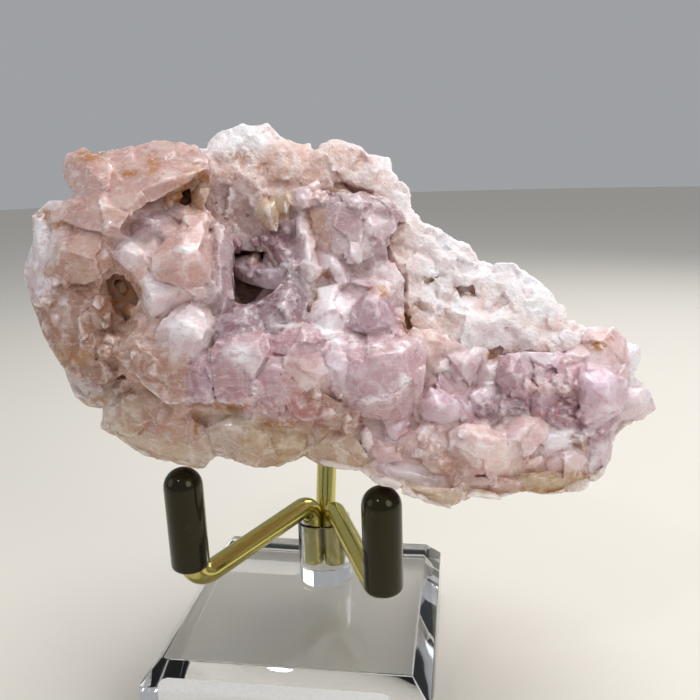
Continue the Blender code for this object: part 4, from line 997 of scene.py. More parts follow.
# The glassy blocks of the underside
BLOCKS = (
    Shard(Tint.STONE, (
        (-38.2, -12, 4.5), (-38.4, -9, 4.5), (-36.8, -7, 6), (-34, -6.8, 8), (-34.5, -10, 8.6),
        (-35, -13.2, 6), (-36.2, -10, 8),
    )),
    Shard(Tint.BEIGE, (
        (-34.5, -6.6, 8), (-31, -6, 9), (-30, -8, 9.4), (-31, -11, 9.4), (-33, -13, 8), (-35, -12.4, 7),
        (-34.4, -9, 9),
    )),
    Shard(Tint.SAND, (
        (-31, -6.5, 9), (-28, -7.6, 10), (-25, -8.8, 10.6), (-24, -10, 10.6), (-24, -12, 10.4),
        (-27, -13.5, 10), (-31, -12.6, 9.4), (-28, -10.4, 11),
    )),
    Shard(Tint.BEIGE, (
        (-35, -13.4, 5.5), (-31, -12.8, 9.4), (-27, -13.4, 10), (-24.2, -13, 10.2), (-23.5, -15, 10),
        (-24, -17.4, 7.5), (-27, -16.8, 7), (-31.5, -15.9, 6), (-33, -14.2, 5.6), (-28, -15, 9.6),
    )),
    Shard(Tint.STONE, (
        (-24, -11, 10.4), (-22.2, -12, 10.4), (-21.8, -13.8, 10.6), (-20.6, -16, 9), (-21.4, -17.6, 7.6),
        (-22.6, -18, 7.4), (-24.2, -17.4, 8), (-24.4, -14.5, 10.6),
    )),
    Shard(Tint.STONE, (
        (-21.8, -10, 10.8), (-20.4, -9.2, 11), (-17.5, -9.4, 11.6), (-16.4, -11.5, 12.6), (-17, -14.5, 12),
        (-18.6, -16.4, 9.4), (-20.4, -15.6, 9.4), (-21.6, -13, 10.6), (-19, -12, 12.6),
    )),
    Shard(Tint.BEIGE, (
        (-17.6, -9.4, 11.6), (-13, -11.2, 12), (-11.8, -12.6, 12.4), (-13, -15.5, 12), (-14.6, -17.7, 9.6),
        (-17.4, -16.7, 9.6), (-17, -14, 12), (-14.6, -13.4, 13.2),
    )),
    Shard(Tint.HONEY, (
        (-12.6, -11.6, 12), (-8, -12.6, 12.4), (-6.9, -13.2, 12.2), (-6.9, -15.5, 11.4), (-8.8, -17.1, 9.8),
        (-12.4, -17.4, 9.6), (-14.2, -17.6, 9.6), (-13.2, -15, 12.4), (-10, -14.6, 13.4),
    )),
    Shard(Tint.BEIGE, (
        (-6.6, -12, 12.6), (-2, -12.4, 13), (0.5, -12.6, 13.2), (1.5, -14.5, 13.2), (2.8, -16.5, 12.8),
        (1.5, -18, 11.6), (-1, -18, 11.4), (-4, -17.6, 11), (-6.4, -16, 10.6), (-2, -15, 13.8),
    )),
    Shard(Tint.BEIGE, (
        (3, -19.4, 11.6), (6, -20.4, 12.4), (10, -21.2, 13), (14, -21, 13), (17, -21.2, 12.8),
        (18.8, -22.2, 12), (18, -23.4, 12), (16, -24.2, 12), (12, -23, 12), (9, -22, 12), (12, -21.8, 13.6),
    )),
    Shard(Tint.SAND, (
        (16, -19.6, 12), (20, -19.2, 12.2), (24, -19.4, 11.8), (25.6, -20.4, 11), (25, -21.8, 10.4),
        (21, -22.2, 10.8), (18, -21.8, 11.8), (16, -21, 12.2), (21, -20.6, 12.6),
    )),
    Shard(Tint.HONEY, (
        (26, -18.6, 10.6), (30, -18.4, 10.2), (34.5, -18.8, 9.2), (36, -19.6, 8.4), (34, -20.8, 8.8),
        (30, -21.4, 9.6), (26.4, -21, 10.6), (30, -20, 10.8),
    )),
    Shard(Tint.HONEY, (
        (25.6, -21, 10.4), (30, -21.4, 9.8), (35, -21.2, 8.4), (33, -22, 8.4), (28, -22.2, 9.6),
        (25, -22, 10),
    ), 4.0),
    Shard(Tint.FROST, (
        (36.5, -15, 8.4), (38.5, -13, 8), (40.3, -12.6, 7), (40, -15.6, 6.6), (39, -18.4, 6.4),
        (37.2, -19.8, 7), (36.4, -18, 8.4), (38, -16, 8.6),
    )),
    Shard(Tint.STONE, (
        (-44, -2.6, 4.6), (-41, -3.2, 8), (-38.6, -4.4, 8.4), (-37, -6.6, 7.4), (-38, -8.4, 5.2),
        (-40.4, -8.2, 4.6), (-42, -7, 4.4), (-43.3, -4.6, 4.4), (-40.4, -5.4, 8.4),
    )),
    Shard(Tint.BEIGE, (
        (-47, 2.6, 4), (-44.6, 3, 8), (-42, 1.6, 10), (-41.6, -0.4, 10), (-43.4, -2.2, 7.6),
        (-45.4, -0.6, 4.6), (-46.4, 1.2, 4), (-43.8, 0.6, 9.6),
    )),
)

# What crosses the holes
BRIDGES = (
    Shard(Tint.LILAC, (
        (-18.4, 13.9, 0.5), (-16.6, 14.2, 2), (-15.6, 14.3, 2.5), (-12.4, 13.2, 5), (-9.6, 12.2, 7),
        (-10, 9.4, 7), (-12.4, 9.2, 5.5), (-15.2, 11.6, 3.5), (-16.2, 10.6, 2.5), (-17.9, 11.6, 1.5),
        (-17.4, 12.6, 3.4), (-13.6, 12, 5.8),
    ), 3.0),
)

# Holes between the crystals, by their corners as seen, (x, z), and how near the eye each one's floor is
HOLES = (
    ((-18.2, 16.6), (-12.4, 15.8), (-11.6, 12.8), (-11.8, 10.4), (-14, 7), (-15.6, 6.4), (-17.2, 6.5),
     (-18.2, 8), (-18.6, 11.6)),
    ((-37.4, 11), (-34.6, 12.4), (-33.2, 9.6), (-31.8, 7), (-33.6, 3.6), (-36.4, 6)),
    ((-28.4, 23.2), (-24.2, 25.2), (-23.8, 22.4), (-25, 21.6)),
    ((-2.8, 25), (-0.4, 25.2), (2.4, 24.1), (0.6, 23.6)),
    ((8, 5), (9.2, 5.2), (9.8, 3.2), (8.6, 2.6)),
    ((9.6, 9.6), (12, 11.4), (14, 11.4), (12.4, 10)),
    ((15.6, 9.8), (18.4, 10), (19, 8), (16.6, 8)),
    ((9.4, 7.2), (11.4, 7), (12.8, 6), (11, 6)),
    ((-4.7, 11.4), (-3.6, 12.2), (-3.2, 10.6), (-4.1, 9.3), (-4.9, 10)),
    ((21, -0.2), (22.6, 0), (22, -1.6), (20.8, -1.8)),
    ((-6.4, 8), (-5.2, 8.6), (-6, 5.2), (-6.8, 5.6)),
)
HOLE_FLOORS = (-1.0, 7.6, 3.0, 4.0, 6.0, 4.1, 3.8, 5.6, 10.3, 6.9, 11.6)


def marks_blend(marks: Sequence[Triple], x: np.ndarray, z: np.ndarray, power: float) -> np.ndarray:
    """The third number of the marks, carried smoothly between them.

    Args:
        marks: (x, z, value) of each mark.
        x: where to read it.
        z: where to read it.
        power: how sharply the nearest mark wins.

    Returns:
        One value for each place.
    """
    total = np.zeros_like(x, dtype=float)
    weight = np.zeros_like(total)
    for mark_x, mark_z, value in marks:
        w = ((x - mark_x) ** 2 + (z - mark_z) ** 2 + 2.0) ** (-power / 2)
        total += w * value
        weight += w
    return total / weight


def outline_inset(x: np.ndarray, z: np.ndarray) -> np.ndarray:
    """How far inside the outline each place lies.

    Args:
        x: where to read it.
        z: where to read it.

    Returns:
        One distance for each place; outside the outline it is below nought.
    """
    corners = np.array(OUTLINE, float)
    nearest = np.full(x.shape, NOWHERE_NEAR)
    inside = np.zeros(x.shape, bool)
    for (ax, az), (bx, bz) in zip(corners, np.roll(corners, -1, axis=0)):
        ex, ez = bx - ax, bz - az
        t = np.clip(((x - ax) * ex + (z - az) * ez) / (ex * ex + ez * ez), 0, 1)
        nearest = np.minimum(nearest, (x - ax - t * ex) ** 2 + (z - az - t * ez) ** 2)
        crosses = (az > z) != (bz > z)
        inside ^= crosses & (x < ex * (z - az) / (ez or 1 / NOWHERE_NEAR) + ax)
    return np.where(inside, 1, -1) * np.sqrt(nearest)


def hull_planes(points: Iterable[Sequence[float]]) -> np.ndarray:
    """The faces of the points' convex skin.

    Args:
        points: at least four points.

    Returns:
        Rows of a unit normal and its distance from the origin.
    """
    bm = bmesh.new()
    for point in points:
        bm.verts.new(point)
    bmesh.ops.convex_hull(bm, input=bm.verts)
    bm.normal_update()
    faces = [f for f in bm.faces if f.calc_area() > 1e-6]
    centre = sum((f.calc_center_median() for f in faces), Vector()) / len(faces)
    planes = set()
    for f in faces:
        at = f.calc_center_median()
        normal = f.normal if f.normal.dot(at - centre) > 0 else -f.normal
        planes.add(tuple(round(v, 3) for v in (*normal, normal.dot(at))))
    bm.free()
    return np.array(sorted(planes))


def crystal_planes(rng: np.random.Generator, tip: np.ndarray, axis: np.ndarray, radius: float,
                   length: float) -> np.ndarray:
    """The planes of one six-sided crystal with a worn point.

    Args:
        rng: what its unevenness is drawn from.
        tip: where its point is.
        axis: the unit direction it points in.
        radius: from its middle to its sides.
        length: from its point to its foot.

    Returns:
        Rows of a unit normal and its distance from the origin.
    """
    across = np.cross(axis, (0.3, 0.5, 0.8))
    across /= np.linalg.norm(across)
    beside = np.cross(axis, across)
    foot = tip - axis * length
    rows = [(*-axis, -axis @ foot)]
    turn = rng.uniform(0, math.pi)
    for k in range(6):
        spin = turn + k * math.pi / 3
        out = math.cos(spin) * across + math.sin(spin) * beside
        rows.append((*out, out @ tip + radius * rng.uniform(0.7, 1.0)))
        slant = out * 0.74 + axis * 0.67
        rows.append((*slant, slant @ tip + radius * rng.uniform(-0.05, 0.15)))
    return np.array(rows)


class Patch(NamedTuple):
    """An oval of the front, as seen, that something belongs to."""

    x: float
    z: float
    wide: float
    high: float

    def holds(self, x: np.ndarray, z: np.ndarray) -> np.ndarray:
        """How well each place belongs: one in the middle, fading to nought."""
        return np.exp(-((x - self.x) / self.wide) ** 2 - ((z - self.z) / self.high) ** 2)


class Wash(NamedTuple):
    """A soft oval of colour on the rind: its tint, its place and its strength."""

    tint: Tint
    patch: Patch
    strength: float = 1.0


class Druse(NamedTuple):
    """A patch grown over with small crystals: where, how many, how large, and in which tints."""

    patch: Patch
    count: int
    radii: tuple[float, float]
    tints: tuple[Tint, ...]


RIND_WASHES = (
    Wash(Tint.SNOW, Patch(-16, 34, 8, 3), 1.6), Wash(Tint.SNOW, Patch(4, 30.4, 7, 2), 1.4),
    Wash(Tint.SNOW, Patch(10.5, 22, 3, 8), 1.6), Wash(Tint.SNOW, Patch(-18, 29, 4, 3)),
    Wash(Tint.SHELL, Patch(-6, 28.6, 9, 2.8), 3.6), Wash(Tint.SHELL, Patch(4, 25.6, 5, 2.2), 3.6),
    Wash(Tint.SHELL, Patch(-9.6, 32, 2.6, 1.6), 1.6), Wash(Tint.BLUSH, Patch(-14, 27, 6, 3)),
    Wash(Tint.DUSK, Patch(-14.5, 21, 4, 4), 1.6), Wash(Tint.DUSK, Patch(-15, 17, 4, 3), 1.2),
    Wash(Tint.SNOW, Patch(24, 12.4, 11, 3.6), 4.0), Wash(Tint.SNOW, Patch(33, 6, 5, 5), 1.4),
    Wash(Tint.SNOW, Patch(14, 16, 5, 4), 1.4), Wash(Tint.PEACH, Patch(27, 7, 5, 1.4), 3.0),
    Wash(Tint.SNOW, Patch(23, 8.4, 8, 3.4), 4.4), Wash(Tint.SHELL, Patch(12, 3, 3, 2.4), 1.4),
    Wash(Tint.SHELL, Patch(9, 15, 3, 5), 2.6), Wash(Tint.SAND, Patch(15.2, 7.8, 1.8, 1.8), 3.0),
    Wash(Tint.SHELL, Patch(17.6, 5.6, 3.6, 1.6), 2.0), Wash(Tint.SNOW, Patch(18, 2.6, 6, 1.8), 3.0),
    Wash(Tint.PEACH, Patch(33, 4, 4, 1.6), 3.0), Wash(Tint.PEACH, Patch(18, 12.4, 3, 1.2), 1.6),
    # The clay wash at (-34.8, 9) browns the left hole: partly its own colour, partly painted shade
    Wash(Tint.ORCHID, Patch(25, 4, 5, 1), 1.6), Wash(Tint.CLAY, Patch(-34.8, 9, 3, 4), 2.0),
    Wash(Tint.FROST, Patch(13, 9, 4, 3)), Wash(Tint.SNOW, Patch(44, -1, 3, 5)),
    Wash(Tint.FROST, Patch(28, -8, 6, 4), 0.7), Wash(Tint.BEIGE, Patch(-14, -14, 14, 5), 0.9),
    Wash(Tint.STONE, Patch(-10, -15, 5, 3), 0.9), Wash(Tint.BEIGE, Patch(-32, -12, 9, 7), 0.9),
    Wash(Tint.BEIGE, Patch(24, -21, 16, 3.4), 0.9), Wash(Tint.STONE, Patch(38, -17, 4, 5), 0.7),
    Wash(Tint.CLAY, Patch(-38, 0, 8, 8), 0.5), Wash(Tint.CLAY, Patch(-4, -11, 10, 3), 0.5),
    Wash(Tint.FROST, Patch(-48, 12, 4, 5), 0.8),
)
RUST_SPOTS = (
    Patch(-40, 29.6, 1.8, 1), Patch(-38.6, 30, 0.9, 0.9), Patch(-46.5, 20.6, 1.4, 0.9),
    Patch(-44, 19, 2, 0.6), Patch(-30, 28.4, 0.9, 1.6), Patch(-23.5, 27.1, 1.6, 0.5),
    Patch(-34, 27, 2, 0.5), Patch(-18, 26.7, 0.8, 0.8), Patch(-13.4, 27.6, 1, 1),
    Patch(-16.5, 29.5, 2.4, 1), Patch(-10, 27.2, 1, 0.3), Patch(-8.4, 26.3, 1, 0.3),
    Patch(-1, 25.6, 0.8, 0.3), Patch(38, 0.6, 1.4, 0.8), Patch(39.4, 2.2, 0.9, 0.7),
    Patch(24, 3.5, 0.5, 0.4), Patch(8.8, 4, 0.9, 1.4), Patch(12.3, 10.8, 1.4, 0.6),
    Patch(17.4, 9, 1.4, 0.9), Patch(11, 6.6, 2, 0.4), Patch(21.8, -0.8, 0.9, 0.9), Patch(35, -19.4, 1.2, 1),
    Patch(-6, -7.6, 0.4, 0.3), Patch(4.6, 9, 1.6, 0.8), Patch(-18, -8.6, 4, 0.5), Patch(-11, -11.2, 3, 0.6),
    Patch(-23.4, -12, 0.5, 2.6), Patch(-42, -1, 2.6, 1.2), Patch(-38.4, -8, 1, 0.8),
    Patch(30, -21.4, 5, 0.4), Patch(8.6, 4.4, 0.8, 1.4), Patch(16.8, 9, 1.4, 0.9),
    Patch(12, 10.6, 1.6, 0.7), Patch(10.6, 6.8, 1.8, 0.4), Patch(14.8, 6, 0.6, 0.4),
    Patch(-3.6, 11.2, 0.9, 0.9), Patch(-5.4, 8, 0.5, 1.8), Patch(-26, 23.4, 2.6, 0.8),
    # The spot at (-34.6, 8.4) browns the left hole: partly its own colour, partly painted shade
    Patch(-13.6, 23.4, 0.7, 0.6), Patch(-6, 19, 0.3, 2.4), Patch(-34.6, 8.4, 2.4, 3.4),
    Patch(-22.6, 26.4, 2, 0.5), Patch(-25, 24.6, 2, 1),
)
VEILS = (
    Patch(3.4, -7.6, 2, 0.5), Patch(6.4, -6.8, 1.6, 0.5), Patch(8.4, -5, 0.7, 1.2),
    Patch(-17, -0.6, 1.6, 1.2), Patch(3.6, 0.6, 1.6, 0.4), Patch(7.6, 0.4, 1, 0.8),
    Patch(-25.4, 3.6, 2, 1.6), Patch(-9.6, 3.8, 2, 0.4), Patch(-25, 15.3, 1.1, 0.6),
    Patch(-14.6, -5.4, 0.4, 2), Patch(-30.4, 9.4, 0.6, 2.4), Patch(33, -13, 2.4, 0.8),
    Patch(-47, 17.6, 1, 3), Patch(-46.6, 9.6, 1, 1.6), Patch(0.4, 1.4, 0.8, 1.2), Patch(20, -14.6, 3, 0.4),
)
DRUSES = (
    Druse(Patch(22.6, -8.6, 3.6, 1.5), 26, (0.4, 0.9), (Tint.MAUVE, Tint.SMOKE, Tint.DUSK)),
    Druse(Patch(32.4, -9.6, 2.4, 1.6), 20, (0.4, 0.9), (Tint.MAUVE, Tint.DEEP, Tint.MAUVE)),
    Druse(Patch(30, -5.6, 3.4, 1.8), 23, (0.5, 1.1), (Tint.BLUSH, Tint.FROST, Tint.ROSE)),
    Druse(Patch(-9.8, 18, 0.9, 2), 9, (0.35, 0.6), (Tint.SMOKE, Tint.FROST)),
    Druse(Patch(-5, 23.6, 3, 1.4), 8, (0.4, 0.8), (Tint.SNOW, Tint.PEACH)),
    Druse(Patch(-14, 15.6, 3, 3), 14, (0.5, 1.1), (Tint.CLAY, Tint.SMOKE, Tint.MAUVE)),
    Druse(Patch(-37, 5, 1.6, 3), 5, (0.7, 1.5), (Tint.CLAY, Tint.BROWN, Tint.CLAY)),
    Druse(Patch(-26, 23, 3, 1.4), 9, (0.6, 1.3), (Tint.CLAY, Tint.SAND)),
    Druse(Patch(12, -13.6, 4, 2), 26, (0.5, 1.1), (Tint.BLUSH, Tint.SAND, Tint.FROST)),
    Druse(Patch(-2, -8, 3, 3), 10, (0.6, 1.1), (Tint.CLAY, Tint.DEEP)),
    Druse(Patch(-37, -1, 5, 6), 20, (0.7, 1.4), (Tint.SAND, Tint.CLAY, Tint.BROWN)),
    Druse(Patch(-46, 9, 3, 4), 16, (0.6, 1.2), (Tint.FROST, Tint.SAND)),
    Druse(Patch(37, -12.6, 3, 2), 12, (0.5, 1.1), (Tint.MAUVE, Tint.FROST)),
    Druse(Patch(-8, 12.6, 3, 2.4), 10, (0.5, 1.0), (Tint.FROST, Tint.DUSK)),
)


@dataclass
class Sculpture:
    """The stone: a granular rind and the crystals that stand on it, both carved in sight space.

    middle, lean, roll and turn place it in the row. Behind the rim the outline draws in, and noise
    bites into it all round. Under the crystals the rind stands back by sink, and is narrower by tuck.
    """

    middle: Triple = (9.54, -4.65, 58.25)
    lean: float = -14.5
    roll: float = 2.0
    turn: float = 9.0
    centre: tuple[float, float] = (-2.0, 3.0)
    rind_box: tuple[Triple, Triple] = ((-52.0, -16.0, -27.0), (50.0, 24.0, 38.0))
    rind_step: float = 0.34
    crystal_box: tuple[Triple, Triple] = ((-51.0, -21.6, -25.4), (48.0, 8.0, 33.0))
    crystal_step: float = 0.27
    back_bulge: float = 20.0
    margin: float = 0.3
    lip: float = 4.5
    draw_in: float = 0.3
    bite_depth: float = 0.24
    bite_size: float = 1.5
    tuck: float = 0.2
    sink: float = 1.0
    cover_reach: float = 1.5
    cap_gap: float = 0.3
    cap_room: float = 12.0
    seam: float = 0.5
    closing: float = 2.5
    closing_level: float = 0.42
    mass_depth: float = 5.0
    mass_steep: float = 0.8
    knocks: int = 6
    knock_depths: tuple[float, float] = (0.015, 0.05)
    shard_room: float = 0.6
    hole_taper: float = 0.8
    hole_room: float = 0.8
    in_front: float = -30.0
    facet_reach: float = 1.7
    druse_size: float = 1.15
    druse_spread: float = 0.6
    druse_lean: float = 0.45
    crease: float = 33.0
    behind_all: float = 20.0
    rind: Carving = field(init=False)
    crystals: Carving = field(init=False)
    tints: list[Tint] = field(init=False, default_factory=lambda: [Tint.SAND])

    def __post_init__(self) -> None:
        """Lays out the two lattices, both full of air."""
        self.rind = Carving(Lattice(*self.rind_box, self.rind_step))
        self.crystals = Carving(Lattice(*self.crystal_box, self.crystal_step))

    def matrix(self) -> np.ndarray:
        """From the stone's own space to the row's frame, both in millimetres."""
        angles = [math.radians(a) for a in (self.lean, self.roll, self.turn)]
        return np.array(Matrix.LocRotScale(Vector(self.middle), Euler(angles, "YXZ"), None))

    def to_row(self, points: np.ndarray) -> np.ndarray:
        """Carries points of sight space into the row's frame.

        Args:
            points: x, depth and z of each point.

        Returns:
            Its place in the row's frame, in millimetres.
        """
        scale = 1 + points[:, 1] / SIGHT_DISTANCE
        own = np.column_stack([points[:, 0] * scale, points[:, 1], points[:, 2] * scale])
        matrix = self.matrix()
        return own @ matrix[:3, :3].T + matrix[:3, 3]

    def to_sight(self, points: np.ndarray) -> np.ndarray:
        """Carries points of the row's frame into sight space.

        Args:
            points: the places in the row's frame, in millimetres.

        Returns:
            x, depth and z of each point.
        """
        matrix = self.matrix()
        own = (points - matrix[:3, 3]) @ matrix[:3, :3]
        scale = 1 + own[:, 1] / SIGHT_DISTANCE
        return np.column_stack([own[:, 0] / scale, own[:, 1], own[:, 2] / scale])

    def shape_body(self) -> None:
        """Fills the rind's broad shape: its outline, its front relief and its domed back."""
        lattice = self.rind.lattice
        _, y, _ = lattice.everywhere()
        x, z = lattice.sights()
        covered = np.clip(self.covered(lattice, self.cover_reach) * 2.5 - 1.5, 0, 1)
        inset = outline_inset(x, z) - self.margin - self.tuck * covered
        rim = marks_blend(RIM_MARKS, x, z, RIM_POWER)
        front = marks_blend(FRONT_MARKS, x, z, FRONT_POWER) - self.sink * covered
        rise = 1 - (1 - np.clip(inset / self.lip, 0, 1)) ** 2
        near = rim + (front - rim) * np.sqrt(rise) - self.sink * covered
        growth = self.growth(x, z)
        far = rim * growth - self.back_bulge * np.sqrt(1 - growth**2)
        depths = []
        for sheet, side in ((near, 1), (far, -1)):
            steep = np.gradient(sheet, lattice.step)
            slant = np.sqrt(1 + np.clip(steep[0] ** 2 + steep[1] ** 2, 0, 9))
            depths.append(side * (-y - sheet[:, None, :]) / slant[:, None, :])
        around = self.edge(lattice) + self.margin + self.tuck * covered[:, None, :]
        self.rind.values = np.maximum(np.maximum(*depths), around).astype(np.float32)

    def edge(self, lattice: Lattice) -> np.ndarray:
        """How far outside the outline each point lies, with the outline drawn in and bitten.

        Args:
            lattice: whose points.

        Returns:
            One distance for each point; inside it is below nought.
        """
        _, y, _ = lattice.everywhere()
        x, z = lattice.sights()
        rim = marks_blend(RIM_MARKS, x, z, RIM_POWER)
        bites = np.abs(lattice.noise(self.bite_size, seed=17))
        drawn = self.draw_in * np.maximum(0, y + rim[:, None, :]) + self.bite_depth * bites
        return (drawn - outline_inset(x, z)[:, None, :]).astype(np.float32)

    def growth(self, x: np.ndarray, z: np.ndarray) -> np.ndarray:
        """How far out from the centre to the outline each place lies.

        Args:
            x: where to read it.
            z: where to read it.

        Returns:
            One share, 0 to 1, for each place.
        """
        corners = np.array(OUTLINE) - self.centre
        angles = np.arctan2(corners[:, 1], corners[:, 0])
        order = np.argsort(angles)
        right, up = x - self.centre[0], z - self.centre[1]
        lengths = np.hypot(*corners.T)[order]
        reach = np.interp(np.arctan2(up, right), angles[order], lengths, period=2 * math.pi)
        return np.clip(np.hypot(right, up) / reach, 0, 1)

    def roughen(self) -> None:
        """Lays lumps and a fine tooth over the rind, and undulates the crystals' faces."""
        for size, height, seed in ((7.0, 0.4, 11), (2.6, 0.2, 12)):
            self.rind.values += self.rind.lattice.noise(size, seed) * height
        self.crystals.values += self.crystals.lattice.noise(3.0, 21) * 0.04

    def grow_shards(self, shards: Sequence[Shard], seed: int, spread: float = 1.05) -> None:
        """Grows crystals and lumps, each with its corners knocked off.

        Args:
            shards: what to grow.
            seed: what the knocks are drawn from.
            spread: how much wider than listed each is, to meet its neighbours.
        """
        rng = np.random.default_rng(seed)
        for shard in shards:
            near = np.array([(x, -toward, z) for x, z, toward in shard.corners])
            middle = near.mean(axis=0)
            near = middle + (near - middle) * (spread, 1, spread)
            points = np.vstack((near, near + (0, shard.root, 0)))
            planes = [hull_planes(points)]
            for _ in range(self.knocks):
                way = rng.standard_normal(3) * (1, 0.5, 1) - (0, 1.1, 0)
                way /= np.linalg.norm(way)
                reach = points @ way
                planes.append([(*way, reach.max() - rng.uniform(*self.knock_depths) * np.ptp(reach))])
            self.tints.append(shard.tint)
            low, high = points.min(axis=0) - self.shard_room, points.max(axis=0) + self.shard_room
            self.crystals.grow(np.vstack(planes), low, high, len(self.tints) - 1)

    def covered(self, lattice: Lattice, reach: float) -> np.ndarray:
        """How much of the square round each line of sight the crystals cover.

        Args:
            lattice: whose lines of sight.
            reach: half the square's side.

        Returns:
            One value, 0 to 1, for each x and z of the lattice.
        """
        own = self.crystals.lattice
        spots = [np.rint((lattice.axes[axis] - own.low[axis]) / own.step).astype(int) for axis in (0, 2)]
        spots = [np.clip(spot, 0, count - 1) for spot, count in zip(spots, (own.shape[0], own.shape[2]))]
        cover = (self.crystals.values < 0).any(axis=1)[np.ix_(*spots)].astype(np.float64)
        return box_mean(cover, max(1, round(reach / lattice.step)))

    def fill_mass(self) -> None:
        """Fills the room between neighbouring crystals, a little back from their fronts."""
        lattice = self.crystals.lattice
        _, y, _ = lattice.everywhere()
        x, z = lattice.sights()
        marks = [corner for shard in SHARDS + BLOCKS for corner in shard.corners]
        sheet = (marks_blend(marks, x, z, FRONT_POWER) - self.seam)[:, None, :]
        open_share = self.closing_level - self.covered(lattice, self.closing)
        inside = open_share * 2 * self.closing
        front, back = (-y - sheet) * self.mass_steep, (y + sheet - self.mass_depth) * self.mass_steep
        mass = np.maximum(np.maximum(front, back), inside[:, None, :])
        nearest = np.full(x.shape, NOWHERE_NEAR, np.float32)
        owner = np.zeros(x.shape, np.int16)
        for number, shard in enumerate(SHARDS + BLOCKS):
            for mark_x, mark_z, _ in shard.corners:
                apart = (x - mark_x) ** 2 + (z - mark_z) ** 2
                closer = apart < nearest
                nearest[closer] = apart[closer]
                owner[closer] = number + 1
        closer = mass < self.crystals.values
        self.crystals.values[closer] = mass[closer]
        self.crystals.owner[closer] = np.broadcast_to(owner[:, None, :], closer.shape)[closer]
        self.crystals.values = np.maximum(self.crystals.values, self.edge(lattice))

    def cut_holes(self) -> None:
        """Cuts the hollows between the crystals, each narrower at its floor."""
        for hole, floor in zip(HOLES, HOLE_FLOORS):
            mouth = np.array([(x, self.in_front, z) for x, z in hole])
            bottom = mouth.mean(axis=0) + (mouth - mouth.mean(axis=0)) * self.hole_taper
            bottom[:, 1] = -floor
            points = np.vstack((mouth, bottom))
            low, high = points.min(axis=0) - self.hole_room, points.max(axis=0) + self.hole_room
            for carving in (self.rind, self.crystals):
                carving.cut(hull_planes(points), low, high)

    def chisel_coats(self, carving: Carving, coats: Sequence["Coat"], seed: int) -> None:
        """Breaks a carving's skin into facets, coat over coat.

        Args:
            carving: the solid.
            coats: the coats in the order in which they are cut.
            seed: what the facets are drawn from.
        """
        rng = np.random.default_rng(seed)
        for coat in coats:
            skin = carving.skin()
            count = int(len(skin.points) * (carving.lattice.step / coat.spacing) ** 2)
            points = skin.points[rng.choice(len(skin.points), count, replace=False)]
            ways = carving.slope(points)
            tilts = rng.standard_normal((count, coat.sides, 3)) * coat.tilt
            if coat.sides > 1:
                tilts -= tilts.mean(axis=1, keepdims=True)
                tilts *= coat.tilt / (np.linalg.norm(tilts, axis=2, keepdims=True) + 1e-9)
            facets = ways[:, None, :] + tilts
            facets /= np.linalg.norm(facets, axis=2, keepdims=True)
            crust = self.marked(points, CRUST_PATCHES, 1.8)
            share = {Ground.ALL: 1, Ground.CRUST: crust, Ground.BROKEN: 1 - crust}[coat.ground]
            depths = share * coat.depth * np.ones(count)
            lifts = rng.uniform(-0.3, 1.0, count) * coat.lift
            carving.chisel(points, facets, lifts, depths, coat.spacing * self.facet_reach)

    def grow_druses(self) -> None:
        """Grows the small crystals over their patches."""
        rng = np.random.default_rng(42)
        for druse in DRUSES:
            patch = druse.patch
            for _ in range(druse.count):
                x = patch.x + patch.wide * rng.normal(0, self.druse_spread)
                z = patch.z + patch.high * rng.normal(0, self.druse_spread)
                depth = min(self.first_solid(c, x, z) for c in (self.rind, self.crystals))
                radius = rng.uniform(*druse.radii) * self.druse_size
                axis = np.array((rng.normal(0, self.druse_lean), -1.0, rng.normal(0.1, self.druse_lean)))
                axis /= np.linalg.norm(axis)
                tip = np.array((x, depth, z)) + axis * radius * rng.uniform(0.2, 0.9)
                planes = crystal_planes(rng, tip, axis, radius, radius * 3.4)
                self.tints.append(druse.tints[rng.integers(len(druse.tints))])
                reach = radius * 3.6
                self.crystals.grow(planes, tip - reach, tip + reach, len(self.tints) - 1)

    def first_solid(self, carving: Carving, x: float, z: float) -> float:
        """The depth at which a line of sight first meets a carving.

        Args:
            carving: the solid.
            x: where the line of sight is.
            z: where the line of sight is.

        Returns:
            The depth, or behind_all where the line misses.
        """
        lattice = carving.lattice
        i, k = (int(round((at - lattice.low[axis]) / lattice.step)) for at, axis in ((x, 0), (z, 2)))
        if not (0 <= i < lattice.shape[0] and 0 <= k < lattice.shape[2]):
            return self.behind_all
        column = carving.values[i, :, k] < 0
        return float(lattice.axes[1][column.argmax()]) if column.any() else self.behind_all

    def clear_caps(self, caps: Sequence["Cap"]) -> None:
        """Takes the caps' room out of both carvings.

        Args:
            caps: the caps that the stone rests on.
        """
        for cap in caps:
            top = self.to_sight(np.array([cap.top]))[0]
            for carving in (self.rind, self.crystals):
                window = carving.lattice.window(top - self.cap_room, top + self.cap_room)
                if min(part.stop - part.start for part in window) < 2:
                    continue
                lines = np.broadcast_arrays(*carving.lattice.lines(window))
                row = self.to_row(np.column_stack([line.ravel() for line in lines]))
                depth = cap.depth(row).reshape(lines[0].shape) - self.cap_gap
                part = carving.values[window]
                np.maximum(part, -depth, out=part)

    def carve(self, caps: Sequence["Cap"]) -> None:
        """Carves both solids, ready for their skins.

        Args:
            caps: the caps that the stone rests on.
        """
        self.grow_shards(SHARDS, seed=5)
        self.grow_shards(BLOCKS, seed=7, spread=1.13)
        self.fill_mass()
        self.shape_body()
        self.roughen()
        self.cut_holes()
        self.grow_shards(BRIDGES, seed=6)
        self.chisel_coats(self.crystals, CRYSTAL_COATS, seed=36)
        self.chisel_coats(self.rind, RIND_COATS, seed=32)
        self.grow_druses()
        for carving in (self.rind, self.crystals):
            carving.values = np.maximum(carving.values, self.edge(carving.lattice))
        self.clear_caps(caps)

